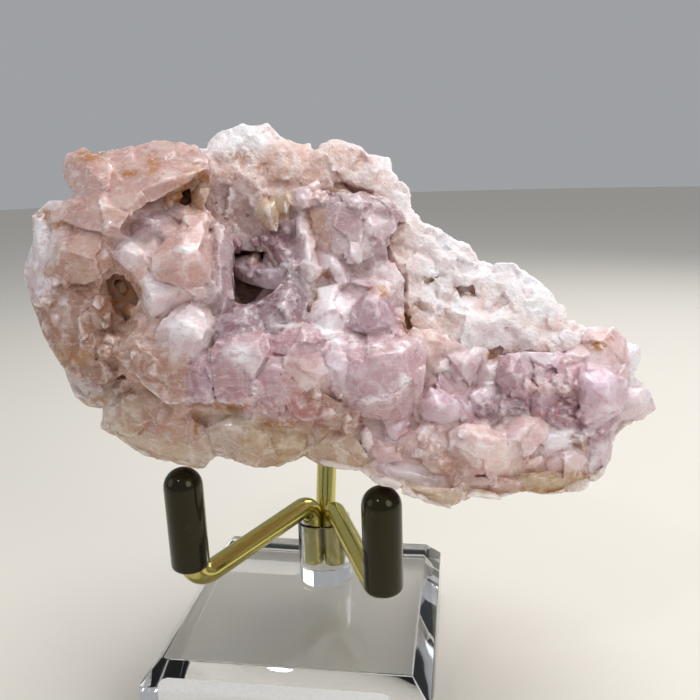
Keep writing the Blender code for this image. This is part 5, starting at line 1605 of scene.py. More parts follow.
    def build(self, name: str, carving: Carving, limit: int) -> tuple[bpy.types.Object, np.ndarray]:
        """Turns a carving into a mesh in the row's frame.

        Args:
            name: the object's name.
            carving: the solid.
            limit: the most triangles that the mesh may have.

        Returns:
            The object and its points in sight space.
        """
        skin = carving.skin(crisp=True)
        mesh = bpy.data.meshes.new(name)
        mesh.from_pydata(self.to_row(skin.points) * MM, [], skin.faces)
        obj = bpy.data.objects.new(name, mesh)
        bpy.context.scene.collection.objects.link(obj)
        triangles = 2 * len(skin.faces)
        if triangles > limit:
            obj.modifiers.new("thin", "DECIMATE").ratio = limit / triangles
            evaluated = obj.evaluated_get(bpy.context.evaluated_depsgraph_get())
            thinned = bpy.data.meshes.new_from_object(evaluated)
            obj.modifiers.clear()
            obj.data = thinned
        obj.data.shade_smooth()
        obj.data.set_sharp_from_angle(angle=math.radians(self.crease))
        LOG.info("%s: %d triangles carved, %d kept", name, triangles, min(triangles, limit))
        points = np.empty(len(obj.data.vertices) * 3)
        obj.data.vertices.foreach_get("co", points)
        return obj, self.to_sight(points.reshape(-1, 3) / MM)

    @staticmethod
    def shade(obj: bpy.types.Object, points: np.ndarray, air: "Air") -> None:
        """Stores how deep in a crevice or a cavity, and how far out on an edge, each point lies.

        Args:
            obj: the mesh's object.
            points: its points in sight space.
            air: where there is air.
        """
        for name, reach, level, gain in SHADES:
            set_attribute(obj.data, name, np.clip((air.share(reach, points) - level) * gain, 0, 1))

    def paint_crystals(self, obj: bpy.types.Object, points: np.ndarray) -> None:
        """Stores each crystal's tint, evened out a little, each facet's chance, the stains and the veils.

        Args:
            obj: the mesh's object.
            points: its points in sight space.
        """
        colours = np.array([tint.value for tint in self.tints])
        chance = np.random.default_rng(51).uniform(0, 1, CHANCES)
        own = colours[self.crystals.nearest(self.crystals.owner, points)]
        set_attribute(obj.data, "tint", own * 0.55 + spread_values(obj.data, own, 26) * 0.45)
        set_attribute(obj.data, "chance", chance[self.crystals.nearest(self.crystals.facet, points)])
        set_attribute(obj.data, "stain", self.marked(points, RUST_SPOTS))
        set_attribute(obj.data, "veil", self.marked(points, VEILS))

    def paint_rind(self, obj: bpy.types.Object, points: np.ndarray) -> None:
        """Stores the rind's tint, washed over in soft ovals, each grain's chance and the stains.

        Args:
            obj: the mesh's object.
            points: its points in sight space.
        """
        warp = [self.rind.sample(self.rind.lattice.noise(4.0, seed), points) for seed in (61, 62)]
        x, z = points[:, 0] + warp[0] * 2.0, points[:, 2] + warp[1] * 2.0
        ground = 0.2
        colour = np.tile(np.array(Tint.BLUSH.value) * ground, (len(points), 1))
        total = np.full(len(points), ground)
        for wash in RIND_WASHES:
            share = wash.patch.holds(x, z) * wash.strength
            colour += share[:, None] * wash.tint.value
            total += share
        colour /= total[:, None]
        behind = np.clip((points[:, 1] - 2 + warp[0] * 2) / 6, 0, 1)[:, None]
        beige, frost = np.array(Tint.BEIGE.value), np.array(Tint.FROST.value)
        back = beige + (frost - beige) * np.clip(0.5 + warp[1][:, None] * 0.5, 0, 1)
        colour = colour * (1 - behind) + back * behind
        owners = self.rind.nearest(self.rind.facet, points)
        chance = np.random.default_rng(63).uniform(0, 1, owners.max() + 1)
        set_attribute(obj.data, "tint", colour)
        set_attribute(obj.data, "chance", chance[owners])
        set_attribute(obj.data, "stain", self.marked(points, RUST_SPOTS) * (1 - behind[:, 0]))

    @staticmethod
    def marked(points: np.ndarray, patches: Sequence[Patch], gain: float = 1.6) -> np.ndarray:
        """How much each point belongs to the nearest of some patches.

        Args:
            points: the points in sight space.
            patches: the patches.
            gain: how far each patch's full strength reaches out.

        Returns:
            One share, 0 to 1, for each point.
        """
        mark = np.zeros(len(points))
        for patch in patches:
            mark = np.maximum(mark, patch.holds(points[:, 0], points[:, 2]))
        return np.clip(mark * gain, 0, 1)


class Ground(Enum):
    """The kinds of skin that a coat can lie on."""

    ALL = "all"
    CRUST = "crust"
    BROKEN = "broken"


class Coat(NamedTuple):
    """One coat of facets: how far apart, how many meet, how tilted, how high, how deep and on what."""

    spacing: float
    sides: int
    tilt: float
    lift: float
    depth: float
    ground: Ground = Ground.ALL


RIND_COATS = (
    Coat(6.0, 1, 0.32, 0.2, 0.6, Ground.BROKEN), Coat(3.4, 1, 0.4, 0.15, 0.5, Ground.CRUST),
    Coat(2.6, 1, 0.3, 0.1, 0.25, Ground.BROKEN), Coat(1.05, 3, 0.5, 0.15, 0.22, Ground.CRUST),
)
CRYSTAL_COATS = (Coat(5.6, 1, 0.14, 0.0, 0.3), Coat(1.7, 1, 0.05, 0.01, 0.035))
CRUST_PATCHES = (
    Patch(-17, 33, 10, 6), Patch(1, 29, 10, 6), Patch(10, 21, 6, 8), Patch(24, 11, 14, 6),
    Patch(35, 4, 6, 4), Patch(-15, 21, 6, 6),
)


# What a point's air says of it: the attribute, half the cube's side, the share where it starts, its gain
# crevice and cavity become painted shade in the finishes; edge whitens edges, partly as painted highlight
SHADES = (("crevice", 2.2, 0.5, -3.4), ("cavity", 5.0, 0.42, -4.5), ("edge", 0.8, 0.56, 5.0))


class Air:
    """Where there is air round some carvings, on a lattice of its own."""

    BOX = ((-55.0, -29.0, -32.0), (54.0, 29.0, 43.0))
    STEP = 0.4

    def __init__(self, carvings: Sequence[Carving]) -> None:
        """Marks every point that no carving fills.

        Args:
            carvings: the solids.
        """
        self.lattice = Lattice(*self.BOX, self.STEP)
        self.holder = Carving(self.lattice)
        grid = np.ones(self.lattice.shape, bool)
        for carving in carvings:
            spots, inside = [], []
            for axis, low, count in zip(self.lattice.axes, carving.lattice.low, carving.lattice.shape):
                spot = np.rint((axis - low) / carving.lattice.step).astype(int)
                inside.append((spot >= 0) & (spot < count))
                spots.append(spot[inside[-1]])
            window = tuple(slice(mask.argmax(), mask.argmax() + mask.sum()) for mask in inside)
            grid[window] &= carving.values[np.ix_(*spots)] > 0
        self.grid = grid.astype(np.float32)

    def share(self, reach: float, points: np.ndarray) -> np.ndarray:
        """How much of a cube round each point is air.

        Args:
            reach: half the cube's side in millimetres.
            points: the points in sight space.

        Returns:
            One value, 0 to 1, for each point.
        """
        return self.holder.sample(box_mean(self.grid, max(1, round(reach / self.lattice.step))), points)


def box_mean(grid: np.ndarray, half: int) -> np.ndarray:
    """The mean of a grid over a box round each of its points.

    Args:
        grid: the values.
        half: how many points the box reaches each way.

    Returns:
        One mean for each point.
    """
    for axis in range(grid.ndim):
        sides = [(half + 1, half) if other == axis else (0, 0) for other in range(grid.ndim)]
        total = np.cumsum(np.pad(grid, sides, "edge"), axis, dtype=np.float64)
        width, count = 2 * half + 1, total.shape[axis]
        grid = (total.take(range(width, count), axis) - total.take(range(count - width), axis)) / width
    return grid


def spread_values(mesh: bpy.types.Mesh, values: np.ndarray, rounds: int) -> np.ndarray:
    """Evens out the points' values along the mesh's edges.

    Args:
        mesh: the mesh whose points they are.
        values: one row for each point.
        rounds: how many times each point is averaged with its neighbours.

    Returns:
        The evened rows.
    """
    ends = np.empty(len(mesh.edges) * 2, np.int32)
    mesh.edges.foreach_get("vertices", ends)
    one, other = ends.reshape(-1, 2).T
    shares = np.bincount(ends, minlength=len(values)) + 1
    columns = []
    for column in values.T:
        for _ in range(rounds):
            sums = [np.bincount(a, column[b], len(column)) for a, b in ((one, other), (other, one))]
            column = (column + (sums[0] + sums[1])) / shares
        columns.append(column)
    return np.stack(columns, axis=1)


def set_attribute(mesh: bpy.types.Mesh, name: str, values: np.ndarray) -> None:
    """Gives each point of the mesh a value or a colour.

    Args:
        mesh: the mesh.
        name: what the shader calls the attribute.
        values: one value for each point, or one row of red, green and blue.
    """
    if values.ndim == 2:
        attribute = mesh.attributes.new(name, "FLOAT_COLOR", "POINT")
        colours = np.column_stack([values, np.ones(len(values))])
        attribute.data.foreach_set("color", colours.astype(np.float32).ravel())
    else:
        attribute = mesh.attributes.new(name, "FLOAT", "POINT")
        attribute.data.foreach_set("value", values.astype(np.float32))


@dataclass(frozen=True)
class CrystalFinish:
    """Milky rose crystal: clear enough to glow, veined with white, and whitened on its edges as frosted
    chips and painted highlight.
    """

    roughness: float = 0.3
    glow: float = 0.4
    glow_reach: Triple = (1.4, 0.8, 0.75)
    depth_wash: Colour = (0.82, 0.66, 0.68)
    milk: Colour = (0.90, 0.80, 0.82)
    haze: Colour = (0.84, 0.75, 0.77)
    scratched: Colour = (0.90, 0.84, 0.86)
    cracked: Colour = (0.90, 0.83, 0.85)
    vein: Colour = (0.96, 0.93, 0.95)
    frost: Colour = (0.92, 0.87, 0.89)
    crevice_shade: Colour = (0.74, 0.54, 0.48)
    hollow: Colour = (0.26, 0.13, 0.08)
    rust: Colour = (0.42, 0.18, 0.05)

    def material(self) -> bpy.types.Material:
        """Builds the crystals' material.

        Returns:
            The material.
        """
        paint = Paint("rose_crystal", {
            "IOR": 1.544, "Subsurface Weight": self.glow, "Subsurface Radius": self.glow_reach,
            "Subsurface Scale": MM, "Coat IOR": 1.5, "Coat Roughness": 0.1,
        })
        tint = paint.attribute("tint", "Color")
        crevice, cavity = paint.attribute("crevice"), paint.attribute("cavity")
        edge, chance = paint.attribute("edge"), paint.attribute("chance")
        fine = paint.noise(1.1, 5.0)
        cloud = paint.noise(0.22, 4.0)
        # noise over the way each face points, used below to paint facets lighter and darker as painted
        # reflection
        facet = paint.facets(2.6)
        veil = paint.noise(0.5, 5.0, (1.0, 1.0, 2.2)).span(0.54, 0.7)
        crack = paint.node("TexVoronoi", {"feature": "DISTANCE_TO_EDGE"}, {
            "Vector": paint.bent(0.5, 1.6), "Scale": 0.28}).span(0.0, 0.035, 1.0, 0.0)
        scratch = paint.noise(2.0, 3.0, (0.3, 1.0, 2.6)).span(0.6, 0.66)
        streaks = paint.noise(1.1, 3.0, (0.6, 1.0, 1.6)).span(0.4, 0.56)
        deeper = paint.mix(1.0, tint, self.depth_wash, "MULTIPLY")
        paler = paint.mix(0.35, tint, self.milk)
        colour = paint.layers(
            paint.mix(cloud.span(0.36, 0.64), deeper, tint),
            # Facets drawn paler or deeper: by their chance, partly random tone and partly painted
            # reflection; by the way they face, painted reflection
            (chance.span(0.6, 1.0, 0.0, 0.7), paler),
            (chance.span(0.4, 0.0, 0.0, 0.5), deeper),
            (facet.span(0.4, 0.66) * 0.4, paler),
            (facet.span(0.5, 0.34) * 0.45, deeper),
            (veil * 0.35, self.haze),
            (scratch * fine.span(0.4, 0.6) * 0.6, self.scratched),
            (crack * fine.span(0.4, 0.6) * 0.35, self.cracked),
            (paint.attribute("veil") * streaks * 0.8, self.vein),
            # edges whitened towards frost: partly frosted chips, partly painted highlight
            (edge * fine.span(0.36, 0.6) * 0.7, self.frost),
        )
        paint.set("Base Color", paint.layers(
            colour,
            # painted shade: the deeper a point lies in a crevice, the more its colour is darkened and
            # browned
            (crevice * 0.5, paint.mix(1.0, colour, self.crevice_shade, "MULTIPLY")),
            # painted shade: points deep in a cavity are mixed towards a dark brown
            (cavity * 0.75, self.hollow),
            (paint.attribute("stain") * fine.span(0.42, 0.54) * 0.95, self.rust),
        ))
        scuff = paint.noise(1.6, 4.0).span(0.4, 0.62)
        paint.set("Roughness", scuff * 0.3 + (self.roughness - 0.14) + crevice * 0.25)
        paint.set("Coat Weight", (1 - crevice) * chance.span(0.5, 0.9, 0.1, 0.8))
        bump = paint.bump(fine, 0.09)
        bump = paint.bump(paint.noise(0.7, 2.0, (0.5, 0.5, 5.0)), 0.04, bump)
        bump = paint.bump(scratch, 0.03, bump)
        paint.set("Normal", bump)
        return paint.material


@dataclass(frozen=True)
class RindFinish:
    """Sugary quartz rind: matte grains with a sparkle, darkened brown in its crevices as painted shade."""

    roughness: float = 0.56
    glow: float = 0.25
    glow_reach: Triple = (1.0, 0.8, 0.75)
    depth_wash: Colour = (0.96, 0.88, 0.86)
    sugar: Colour = (0.92, 0.87, 0.88)
    grain: Colour = (0.94, 0.90, 0.92)
    frost: Colour = (0.97, 0.95, 0.97)
    crevice_shade: Colour = (0.82, 0.64, 0.54)
    hollow: Colour = (0.30, 0.17, 0.11)
    rust: Colour = (0.45, 0.22, 0.08)

    def material(self) -> bpy.types.Material:
        """Builds the rind's material.

        Returns:
            The material.
        """
        paint = Paint("sugary_rind", {
            "IOR": 1.52, "Subsurface Weight": self.glow, "Subsurface Radius": self.glow_reach,
            "Subsurface Scale": MM,
        })
        tint = paint.attribute("tint", "Color")
        crevice, cavity = paint.attribute("crevice"), paint.attribute("cavity")
        edge, chance = paint.attribute("edge"), paint.attribute("chance")
        mottle = paint.noise(0.3, 5.0)
        fine = paint.noise(1.8, 5.0)
        grain = paint.node("SeparateColor", {}, {0: paint.cells(2.0, "F1", "Color")})
        darker = paint.mix(1.0, tint, self.depth_wash, "MULTIPLY")
        colour = paint.layers(
            paint.mix(mottle.span(0.38, 0.62), darker, tint),
            (chance.span(0.3, 1.0, 0.0, 0.35), self.sugar),
            (chance.span(0.5, 0.0, 0.0, 0.35), darker),
            (grain.span(0.5, 1.0, 0.0, 0.25), self.grain),
            # edges whitened towards frost: partly frosted chips, partly painted highlight
            (edge * 0.55, self.frost),
        )
        paint.set("Base Color", paint.layers(
            colour,
            # painted shade: the deeper a point lies in a crevice, the more its colour is darkened and
            # browned
            (crevice * 0.5, paint.mix(1.0, colour, self.crevice_shade, "MULTIPLY")),
            # painted shade: points deep in a cavity are mixed towards a dark brown
            (cavity * 0.75, self.hollow),
            (paint.attribute("stain") * fine.span(0.4, 0.64) * 0.75, self.rust),
        ))
        glint = grain.span(0.86, 0.9)
        paint.set("Roughness", (self.roughness + fine * 0.2) - glint * 0.4)
        bump = paint.bump(paint.cells(2.0), -0.12)
        bump = paint.bump(fine, 0.12, bump)
        paint.set("Normal", bump)
        return paint.material


@dataclass(frozen=True)
class ClearFinish:
    """Clear cast acrylic with polished faces and a few fine marks."""

    def material(self) -> bpy.types.Material:
        """Builds the acrylic.

        Returns:
            The material.
        """
        paint = Paint("clear_acrylic", {
            "Base Color": (0.985, 0.992, 0.99, 1.0), "IOR": 1.49, "Transmission Weight": 1.0,
        })
        smear = paint.noise(0.09, 4.0, (1.0, 1.6, 1.0)).span(0.5, 0.75)
        paint.set("Roughness", smear * 0.05 + 0.008)
        paint.set("Normal", paint.bump(paint.noise(0.05, 2.0), 0.05))
        return paint.material


@dataclass(frozen=True)
class BrassFinish:
    """Polished yellow brass with a faint drawn grain and a few duller spots."""

    colour: Colour = (0.60, 0.53, 0.17)
    dull: Colour = (0.40, 0.36, 0.16)

    def material(self) -> bpy.types.Material:
        """Builds the brass.

        Returns:
            The material.
        """
        paint = Paint("polished_brass", {"Metallic": 1.0})
        tarnish = paint.noise(0.25, 4.0).span(0.5, 0.72)
        paint.set("Base Color", paint.mix(tarnish * 0.5, self.colour, self.dull))
        paint.set("Roughness", tarnish * 0.12 + 0.16)
        paint.set("Normal", paint.bump(paint.noise(2.4, 3.0), 0.012))
        return paint.material


@dataclass(frozen=True)
class VinylFinish:
    """Black dip-moulded vinyl: glossy, with a slight orange peel and a few scuffs."""

    colour: Colour = (0.010, 0.008, 0.004)
    scuffed: Colour = (0.05, 0.045, 0.04)

    def material(self) -> bpy.types.Material:
        """Builds the vinyl.

        Returns:
            The material.
        """
        paint = Paint("black_vinyl", {
            "IOR": 1.4, "Specular IOR Level": 0.4, "Specular Tint": (1.0, 0.86, 0.48, 1.0),
            "Coat Roughness": 0.05, "Coat IOR": 1.4,
        })
        scuff = paint.noise(0.8, 5.0, (1.0, 1.0, 0.4)).span(0.62, 0.74)
        paint.set("Base Color", paint.mix(scuff * 0.4, self.colour, self.scuffed))
        paint.set("Roughness", scuff * 0.2 + 0.15)
        paint.set("Coat Weight", 0.16 - scuff * 0.1)
        paint.set("Normal", paint.bump(paint.noise(0.5, 2.0), 0.03))
        return paint.material


@dataclass(frozen=True)
class CardFinish:
    """Smooth white card with the faint mottle of its pulp."""

    darker: Colour = (0.84, 0.83, 0.80)
    lighter: Colour = (0.90, 0.89, 0.87)

    def material(self) -> bpy.types.Material:
        """Builds the card.

        Returns:
            The material.
        """
        paint = Paint("white_card", {"IOR": 1.45})
        pulp = paint.noise(2.2, 5.0)
        paint.set("Base Color", paint.mix(pulp.span(0.35, 0.65), self.darker, self.lighter))
        paint.set("Roughness", pulp * 0.15 + 0.42)
        paint.set("Normal", paint.bump(pulp, 0.02))
        return paint.material


@dataclass(frozen=True)
class FloorFinish:
    """A pale plain sheet."""

    colour: Colour = (0.82, 0.78, 0.71)

    def material(self) -> bpy.types.Material:
        """Builds the floor's paint.

        Returns:
            The material.
        """
        paint = Paint("pale_floor", {"Roughness": 0.8})
        shade = tuple(c * 0.97 for c in self.colour)
        paint.set("Base Color", paint.mix(paint.noise(0.02, 3.0), self.colour, shade))
        return paint.material


def dress(obj: bpy.types.Object, node: str, material: bpy.types.Material) -> bpy.types.Object:
    """Gives a piece its material and ties it to the row.

    Args:
        obj: the piece.
        node: the row's node that it stands for.
        material: its material.

    Returns:
        The piece.
    """
    obj.data.materials.clear()
    obj.data.materials.append(material)
    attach(obj, BODY)
    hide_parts(node)
    return obj


def add_mesh(name: str, bm: bmesh.types.BMesh, smooth_angle: float = 35.0) -> bpy.types.Object:
    """Turns a bmesh in millimetres into an object in metres, with its faces pointing out.

    Args:
        name: the object's name.
        bm: the bmesh, which is freed.
        smooth_angle: edges sharper than this many degrees stay sharp.

    Returns:
        The object.
    """
    bmesh.ops.recalc_face_normals(bm, faces=bm.faces)
    bmesh.ops.scale(bm, vec=(MM, MM, MM), verts=bm.verts)
    mesh = bpy.data.meshes.new(name)
    bm.to_mesh(mesh)
    bm.free()
    mesh.shade_smooth()
    mesh.set_sharp_from_angle(angle=math.radians(smooth_angle))
    obj = bpy.data.objects.new(name, mesh)
    bpy.context.scene.collection.objects.link(obj)
    return obj


def stitch(bm: bmesh.types.BMesh, rings: Sequence[Sequence[bmesh.types.BMVert]]) -> None:
    """Joins each ring of points to the next with faces.

    Args:
        bm: the mesh to add to.
        rings: the rings, all with as many points; a ring may be one point over and over.
    """
    for low, high in zip(rings, rings[1:]):
        for k in range(len(low)):
            after = (k + 1) % len(low)
            corners = dict.fromkeys((low[k], low[after], high[after], high[k]))
            if len(corners) > 2:
                bm.faces.new(list(corners))


def turn_profile(bm: bmesh.types.BMesh, profile: Sequence[tuple[float, float]], sides: int,
                 place: Matrix) -> None:
    """Turns a profile of (radius, height) points round an axis.

    Args:
        bm: the mesh to add to.
        profile: the points, which start and end on the axis at radius 0.
        sides: how many sides the turned piece has.
        place: where the turned piece stands.
    """
    rings = []
    for radius, height in profile:
        if radius == 0:
            rings.append([bm.verts.new(place @ Vector((0, 0, height)))] * sides)
            continue
        spins = [2 * math.pi * k / sides for k in range(sides)]
        rings.append([bm.verts.new(place @ Vector((radius * math.cos(a), radius * math.sin(a), height)))
                      for a in spins])
    stitch(bm, rings)


@dataclass
class Block:
    """The square acrylic block with its bevelled top edge, and the blank card folded over its front."""

    side: float = 44.5
    height: float = 12.7
    bevel_run: float = 2.75
    bevel_drop: float = 3.2
    edge: float = 0.22
    card_left: float = -18.9
    card_right: float = 16.6
    card_on_bevel: float = 1.65
    card_on_front: float = 7.4
    card_corner: float = 1.3
    card_thickness: float = 0.25
    card_gap: float = 0.3
    fold_lift: float = 0.12
    fold_round: float = 0.9

    def block(self) -> bpy.types.Object:
        """Builds the block, its sharp edges just eased.

        Returns:
            The block.
        """
        half = self.side / 2
        levels = ((half, 0.0), (half, self.height - self.bevel_drop), (half - self.bevel_run, self.height))
        bm = bmesh.new()
        rings = [[bm.verts.new((sx * h, sy * h, z)) for sx, sy in ((-1, -1), (1, -1), (1, 1), (-1, 1))]
                 for h, z in levels]
        bm.faces.new(rings[0])
        bm.faces.new(rings[-1])
        stitch(bm, rings)
        bmesh.ops.bevel(bm, geom=bm.edges[:], offset=self.edge, segments=3, profile=0.5, affect="EDGES")
        return add_mesh("base_block_clear", bm, 30)

    def card_point(self, x: float, down: float, lift: float) -> Vector:
        """A point of the card.

        Args:
            x: how far to the right.
            down: how far down the card from its top edge.
            lift: how far off the block.

        Returns:
            The point, in millimetres.
        """
        slope = Vector((0, -self.bevel_run, -self.bevel_drop)).normalized()
        out_bevel = Vector((0, -self.bevel_drop, self.bevel_run)).normalized()
        fold = Vector((0, -self.side / 2 - self.card_gap, self.height - self.bevel_drop + self.fold_lift))
        fall = down - self.card_on_bevel
        share = min(1.0, max(0.0, 0.5 + fall / self.fold_round))
        share = share * share * (3 - 2 * share)
        way = (Vector((0, 0, -1)) if fall > 0 else slope) * fall
        out = out_bevel.lerp(Vector((0, -1, 0)), share).normalized()
        return fold + way + out * lift + Vector((x, 0, 0))

    def card(self) -> bpy.types.Object:
        """Builds the card as a fine grid with round corners, its two sides joined round its rim.

        Returns:
            The card.
        """
        tall = self.card_on_bevel + self.card_on_front
        columns, rows = 60, 34
        bm = bmesh.new()
        grid = {}
        for i in range(columns + 1):
            for j in range(rows + 1):
                x, down = self.rounded_square(i / columns, j / rows, tall)
                for side, lift in enumerate((0.0, self.card_thickness)):
                    grid[i, j, side] = bm.verts.new(self.card_point(x, down, lift))
        for i in range(columns):
            for j in range(rows):
                for side in (0, 1):
                    bm.faces.new([grid[i + a, j + b, side] for a, b in ((0, 0), (1, 0), (1, 1), (0, 1))])
        rim = [(i, 0) for i in range(columns)] + [(columns, j) for j in range(rows)]
        rim += [(i, rows) for i in range(columns, 0, -1)] + [(0, j) for j in range(rows, 0, -1)]
        for here, there in zip(rim, rim[1:] + rim[:1]):
            bm.faces.new((grid[(*here, 0)], grid[(*there, 0)], grid[(*there, 1)], grid[(*here, 1)]))
        return add_mesh("label_card", bm, 50)

    def rounded_square(self, across: float, along: float, tall: float) -> tuple[float, float]:
        """A place on the card, with the grid drawn in to its round corners.

        Args:
            across: share of the way from left to right.
            along: share of the way from top to bottom.
            tall: the card's height when flat.

        Returns:
            Its x and how far down from the top edge it lies.
        """
        wide = self.card_right - self.card_left
        x, down = across * wide, along * tall
        reach = self.card_corner
        beyond = max(0.0, reach - min(down, tall - down))
        draw = reach - math.sqrt(max(0.0, reach**2 - beyond**2))
        middle = wide / 2
        return self.card_left + (middle + (x - middle) * (middle - draw) / middle), down


@dataclass
class Post:
    """The clear post with the blind hole that holds the three rods."""

    centre: tuple[float, float] = (2.0, 6.3)
    radius: float = 4.7
    foot: float = 13.0
    top: float = 24.6
    edge: float = 0.4
    foot_ease: float = 0.15
    hole_floor: float = 16.2
    hole: float = 4.0
    sides: int = 96

    def build(self) -> bpy.types.Object:
        """Builds the post.

        Returns:
            The post.
        """
        ease = self.foot_ease
        profile = [(0, self.foot), (self.radius - ease, self.foot), (self.radius, self.foot + ease)]
        for k in range(5):
            spin = math.pi / 8 * k
            inward, down = (self.edge * (1 - turn) for turn in (math.cos(spin), math.sin(spin)))
            profile.append((self.radius - inward, self.top - down))
        profile += [(self.hole, self.top), (self.hole, self.hole_floor), (0, self.hole_floor)]
        bm = bmesh.new()
        turn_profile(bm, profile, self.sides, Matrix.Translation((*self.centre, 0)))
        return add_mesh("post_clear", bm, 30)


@dataclass
class Cap:
    """A black vinyl cap with a domed top, open at its foot round its rod."""

    name: str
    top: Triple
    lean: tuple[float, float] = (0.0, 0.0)
    radius: float = 2.9
    length: float = 16.2
    roof: float = 2.2
    foot_round: float = 0.9
    bore_round: float = 0.4
    lip: float = 0.5
    gap: float = 0.3
    sides: int = 72

    @property
    def axis(self) -> Vector:
        """The unit vector up the cap."""
        return Vector((*self.lean, 1.0)).normalized()

    def depth(self, points: np.ndarray) -> np.ndarray:
        """How far outside the cap each point lies.

        Args:
            points: the points in the row's frame, in millimetres.

        Returns:
            One distance for each point; inside the cap it is below nought.
        """
        axis = np.array(self.axis)
        crown = np.array(self.top) - axis * self.radius
        along = (points - crown) @ axis
        held = np.clip(along, self.radius - self.length, 0)
        return np.linalg.norm(points - crown - held[:, None] * axis, axis=1) - self.radius

    def build(self, rod_radius: float) -> bpy.types.Object:
        """Builds the cap as a hollow moulding round its rod.

        Args:
            rod_radius: half the rod's thickness.

        Returns:
            The cap.
        """
        outer, bore, ceiling = self.radius, rod_radius + self.gap, self.length - self.roof
        profile = [(0, ceiling), (bore - self.bore_round, ceiling), (bore, ceiling - self.bore_round),
                   (bore, self.lip), (bore + 0.2, 0.12)]
        for k in range(6):
            spin = math.pi / 10 * k
            inward, up = (self.foot_round * (1 - turn) for turn in (math.sin(spin), math.cos(spin)))
            profile.append((outer - inward, up))
        for k in range(13):
            spin = math.pi / 24 * k
            across = outer * math.cos(spin) if k < 12 else 0
            profile.append((across, self.length - outer * (1 - math.sin(spin))))
        turn = Vector((0, 0, 1)).rotation_difference(self.axis).to_matrix().to_4x4()
        place = Matrix.Translation(Vector(self.top) - self.axis * self.length) @ turn
        bm = bmesh.new()
        turn_profile(bm, profile, self.sides, place)
        return add_mesh(f"{self.name}_cap_vinyl", bm, 40)


@dataclass
class Arm:
    """A brass rod: up out of the post and bent to its cap."""

    name: str
    seat_angle: float
    cap: Cap
    heights: tuple[float, ...]
    bends: tuple[float, ...]
    radius: float = 1.75
    spacing: float = 3.65
    foot: float = 16.5
    sides: int = 40
    steps: int = 18

    def corners(self, post: Post) -> list[Vector]:
        """Where the rod would turn with sharp corners.

        Args:
            post: the post that it stands in.

        Returns:
            The corners from its foot to its end.
        """
        reach = self.spacing / math.sqrt(3)
        spin = math.radians(self.seat_angle)
        seat = Vector((*post.centre, self.foot)) + Vector((math.cos(spin), math.sin(spin), 0)) * reach
        end = Vector(self.cap.top) - self.cap.axis * (self.cap.roof + self.cap.gap)
        if len(self.bends) == 1:
            axis = self.cap.axis
            bend = end - axis * ((end.y - seat.y) / axis.y)
            return [seat, Vector((seat.x, seat.y, bend.z)), end]
        shoulder, foot = self.heights
        return [seat, Vector((seat.x, seat.y, shoulder)), Vector((end.x, end.y, foot)), end]

    def path(self, post: Post) -> list[Vector]:
        """The rod's middle line, with an arc at each bend.

        Args:
            post: the post that it stands in.

        Returns:
            The points from its foot to its end.
        """
        corners = self.corners(post)
        points = [corners[0]]
        for before, corner, after, bend in zip(corners, corners[1:], corners[2:], self.bends):
            into, out = (corner - before).normalized(), (after - corner).normalized()
            angle = into.angle(out)
            start = corner - into * bend * math.tan(angle / 2)
            middle = start + (out - into * into.dot(out)).normalized() * bend
            axis = into.cross(out).normalized()
            for k in range(self.steps + 1):
                spin = Matrix.Rotation(angle * k / self.steps, 3, axis)
                points.append(middle + spin @ (start - middle))
        return points + [corners[-1]]

    def build(self, post: Post) -> bpy.types.Object:
        """Builds the rod as a closed tube whose rings turn without twisting.

        Args:
            post: the post that it stands in.

        Returns:
            The rod.
        """
        points = self.path(post)
        bm = bmesh.new()
        across = None
        rings = []
        for before, point, after in zip([None, *points[:-1]], points, [*points[1:], None]):
            into = (point - before).normalized() if before else (after - point).normalized()
            out = (after - point).normalized() if after else into
            along = (into + out).normalized()
            across = across - along * across.dot(along) if across else along.orthogonal()
            across.normalize()
            beside = along.cross(across)
            spins = [2 * math.pi * k / self.sides for k in range(self.sides)]
            rings.append([bm.verts.new(point + (across * math.cos(a) + beside * math.sin(a)) * self.radius)
                          for a in spins])
        bm.faces.new(rings[0])
        bm.faces.new(rings[-1])
        stitch(bm, rings)
        return add_mesh(f"{self.name}_arm_brass", bm, 40)


@dataclass
class Stand:
    """The display stand: block, post, three arms with their caps, and the card."""

    block: Block = field(default_factory=Block)
    post: Post = field(default_factory=Post)
    arms: tuple[Arm, ...] = field(default_factory=lambda: (
        Arm("left", 210, Cap("left", (-14.2, -16.8, 43.4)), (27.9, 24.4), (2.4, 3.5)),
        Arm("right", 330, Cap("right", (15.4, -18.2, 42.1)), (27.3, 23.7), (2.4, 4.8)),
        Arm("back", 90, Cap("back", (2.2, 20.2, 59.0), (0.0, 0.35)), (), (2.4,)),
    ))

    @property
    def caps(self) -> list[Cap]:
        """The three caps."""
        return [arm.cap for arm in self.arms]

    def build(self) -> list[bpy.types.Object]:
        """Builds and dresses every piece of the stand.

        Returns:
            The pieces.
        """
        acrylic, brass = ClearFinish().material(), BrassFinish().material()
        vinyl, card = VinylFinish().material(), CardFinish().material()
        pieces = [
            dress(self.block.block(), "base_block", acrylic),
            dress(self.post.build(), "post", acrylic),
            dress(self.block.card(), "label", card),
        ]
        for arm in self.arms:
            pieces.append(dress(arm.build(self.post), f"{arm.name}_arm", brass))
            pieces.append(dress(arm.cap.build(arm.radius), f"{arm.name}_cap", vinyl))
        return pieces


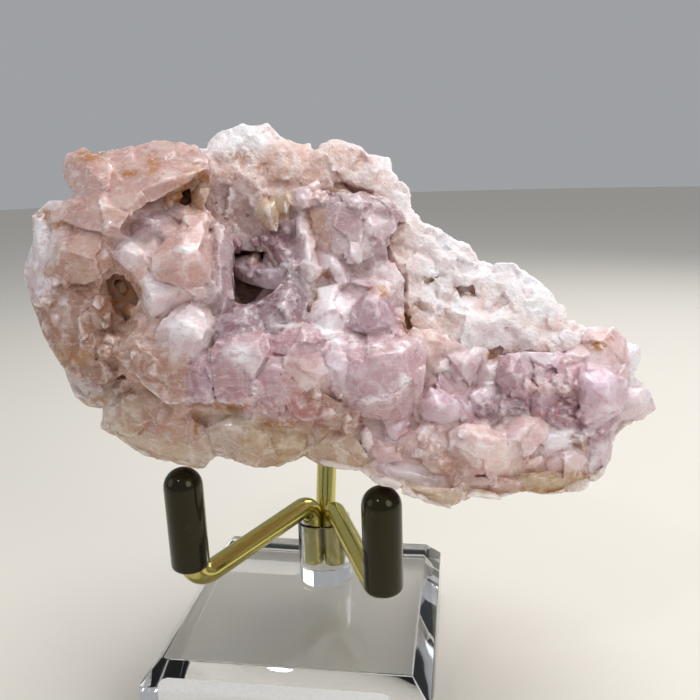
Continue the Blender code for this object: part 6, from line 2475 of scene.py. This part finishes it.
@dataclass
class Studio:
    """The pale floor, the soft lights and the camera at the viewing angle."""

    eye: Triple = (27.11, -115.58, 87.3)
    turn: float = 9.0
    dip: float = 14.5
    roll: float = 2.0
    lens: float = 39.09
    floor_reach: float = 1.6
    sky: Colour = (0.93, 0.96, 1.0)
    sky_strength: float = 0.37

    def floor(self) -> None:
        """Lays a round floor under the stand."""
        bm = bmesh.new()
        bmesh.ops.create_circle(bm, cap_ends=True, segments=96, radius=self.floor_reach / MM)
        floor = add_mesh("floor", bm)
        floor.location.z = -FLOOR_DROP * MM
        floor.data.materials.append(FloorFinish().material())

    def lights(self) -> None:
        """Hangs a broad soft light above, weaker ones on three sides and a small one for glints."""
        for name, place, size, power, colour in (
            ("key", (90, 40, 430), 320, 0.96, (1.0, 0.99, 0.97)),
            ("left", (-380, -160, 200), 260, 0.17, (0.92, 0.96, 1.0)),
            ("right", (330, -230, 260), 260, 0.51, (1.0, 0.99, 0.98)),
            ("behind", (180, 320, 300), 260, 0.47, (1.0, 0.99, 0.97)),
            ("glint", (-90, -230, 330), 30, 0.09, (1.0, 1.0, 1.0)),
        ):
            data = bpy.data.lights.new(name, "AREA")
            data.shape = "DISK"
            data.size = size * MM
            data.energy = power
            data.color = colour
            light = bpy.data.objects.new(name, data)
            light.location = Vector(place) * MM
            light.rotation_euler = (Vector((0, 0, 50)) - Vector(place)).to_track_quat("-Z", "Y").to_euler()
            bpy.context.scene.collection.objects.link(light)
        world = bpy.data.worlds.new("soft_sky")
        world.use_nodes = True
        background = world.node_tree.nodes["Background"]
        background.inputs["Color"].default_value = (*self.sky, 1.0)
        background.inputs["Strength"].default_value = self.sky_strength
        bpy.context.scene.world = world
        bpy.context.scene.view_settings.view_transform = "Standard"

    def camera(self) -> None:
        """Stands the camera where the stone is seen from."""
        turn, dip, roll = (math.radians(a) for a in (self.turn, self.dip, self.roll))
        right = Vector((math.cos(turn), math.sin(turn), 0))
        ahead = Vector((-math.sin(turn), math.cos(turn), 0))
        forward = ahead * math.cos(dip) - Vector((0, 0, math.sin(dip)))
        above = ahead * math.sin(dip) + Vector((0, 0, math.cos(dip)))
        across = right * math.cos(roll) - above * math.sin(roll)
        up = right * math.sin(roll) + above * math.cos(roll)
        camera = bpy.data.objects.new("camera", bpy.data.cameras.new("camera"))
        camera.data.lens = self.lens
        camera.data.sensor_width = 36.0
        camera.data.clip_start = 0.005
        basis = Matrix((across, up, -forward)).transposed().to_4x4()
        camera.matrix_world = Matrix.Translation(Vector(self.eye) * MM) @ basis
        bpy.context.scene.collection.objects.link(camera)
        bpy.context.scene.camera = camera


def main() -> None:
    """Builds the stand, the stone and the studio, in order."""
    logging.basicConfig(level=logging.INFO, format="%(name)s: %(message)s")
    stand = Stand()
    for piece in stand.build():
        LOG.info("%s: %d faces", piece.name, len(piece.data.polygons))
    stone = Sculpture()
    stone.carve(stand.caps)
    air = Air((stone.rind, stone.crystals))
    for name, carving, paint, finish in (
        ("stone_rind", stone.rind, stone.paint_rind, RindFinish()),
        ("stone_crystals", stone.crystals, stone.paint_crystals, CrystalFinish()),
    ):
        obj, points = stone.build(name, carving, TRIANGLE_LIMIT)
        stone.shade(obj, points, air)
        paint(obj, points)
        dress(obj, "amethyst_cluster", finish.material())
    studio = Studio()
    studio.floor()
    studio.lights()
    studio.camera()


if __name__ == "__main__":
    main()
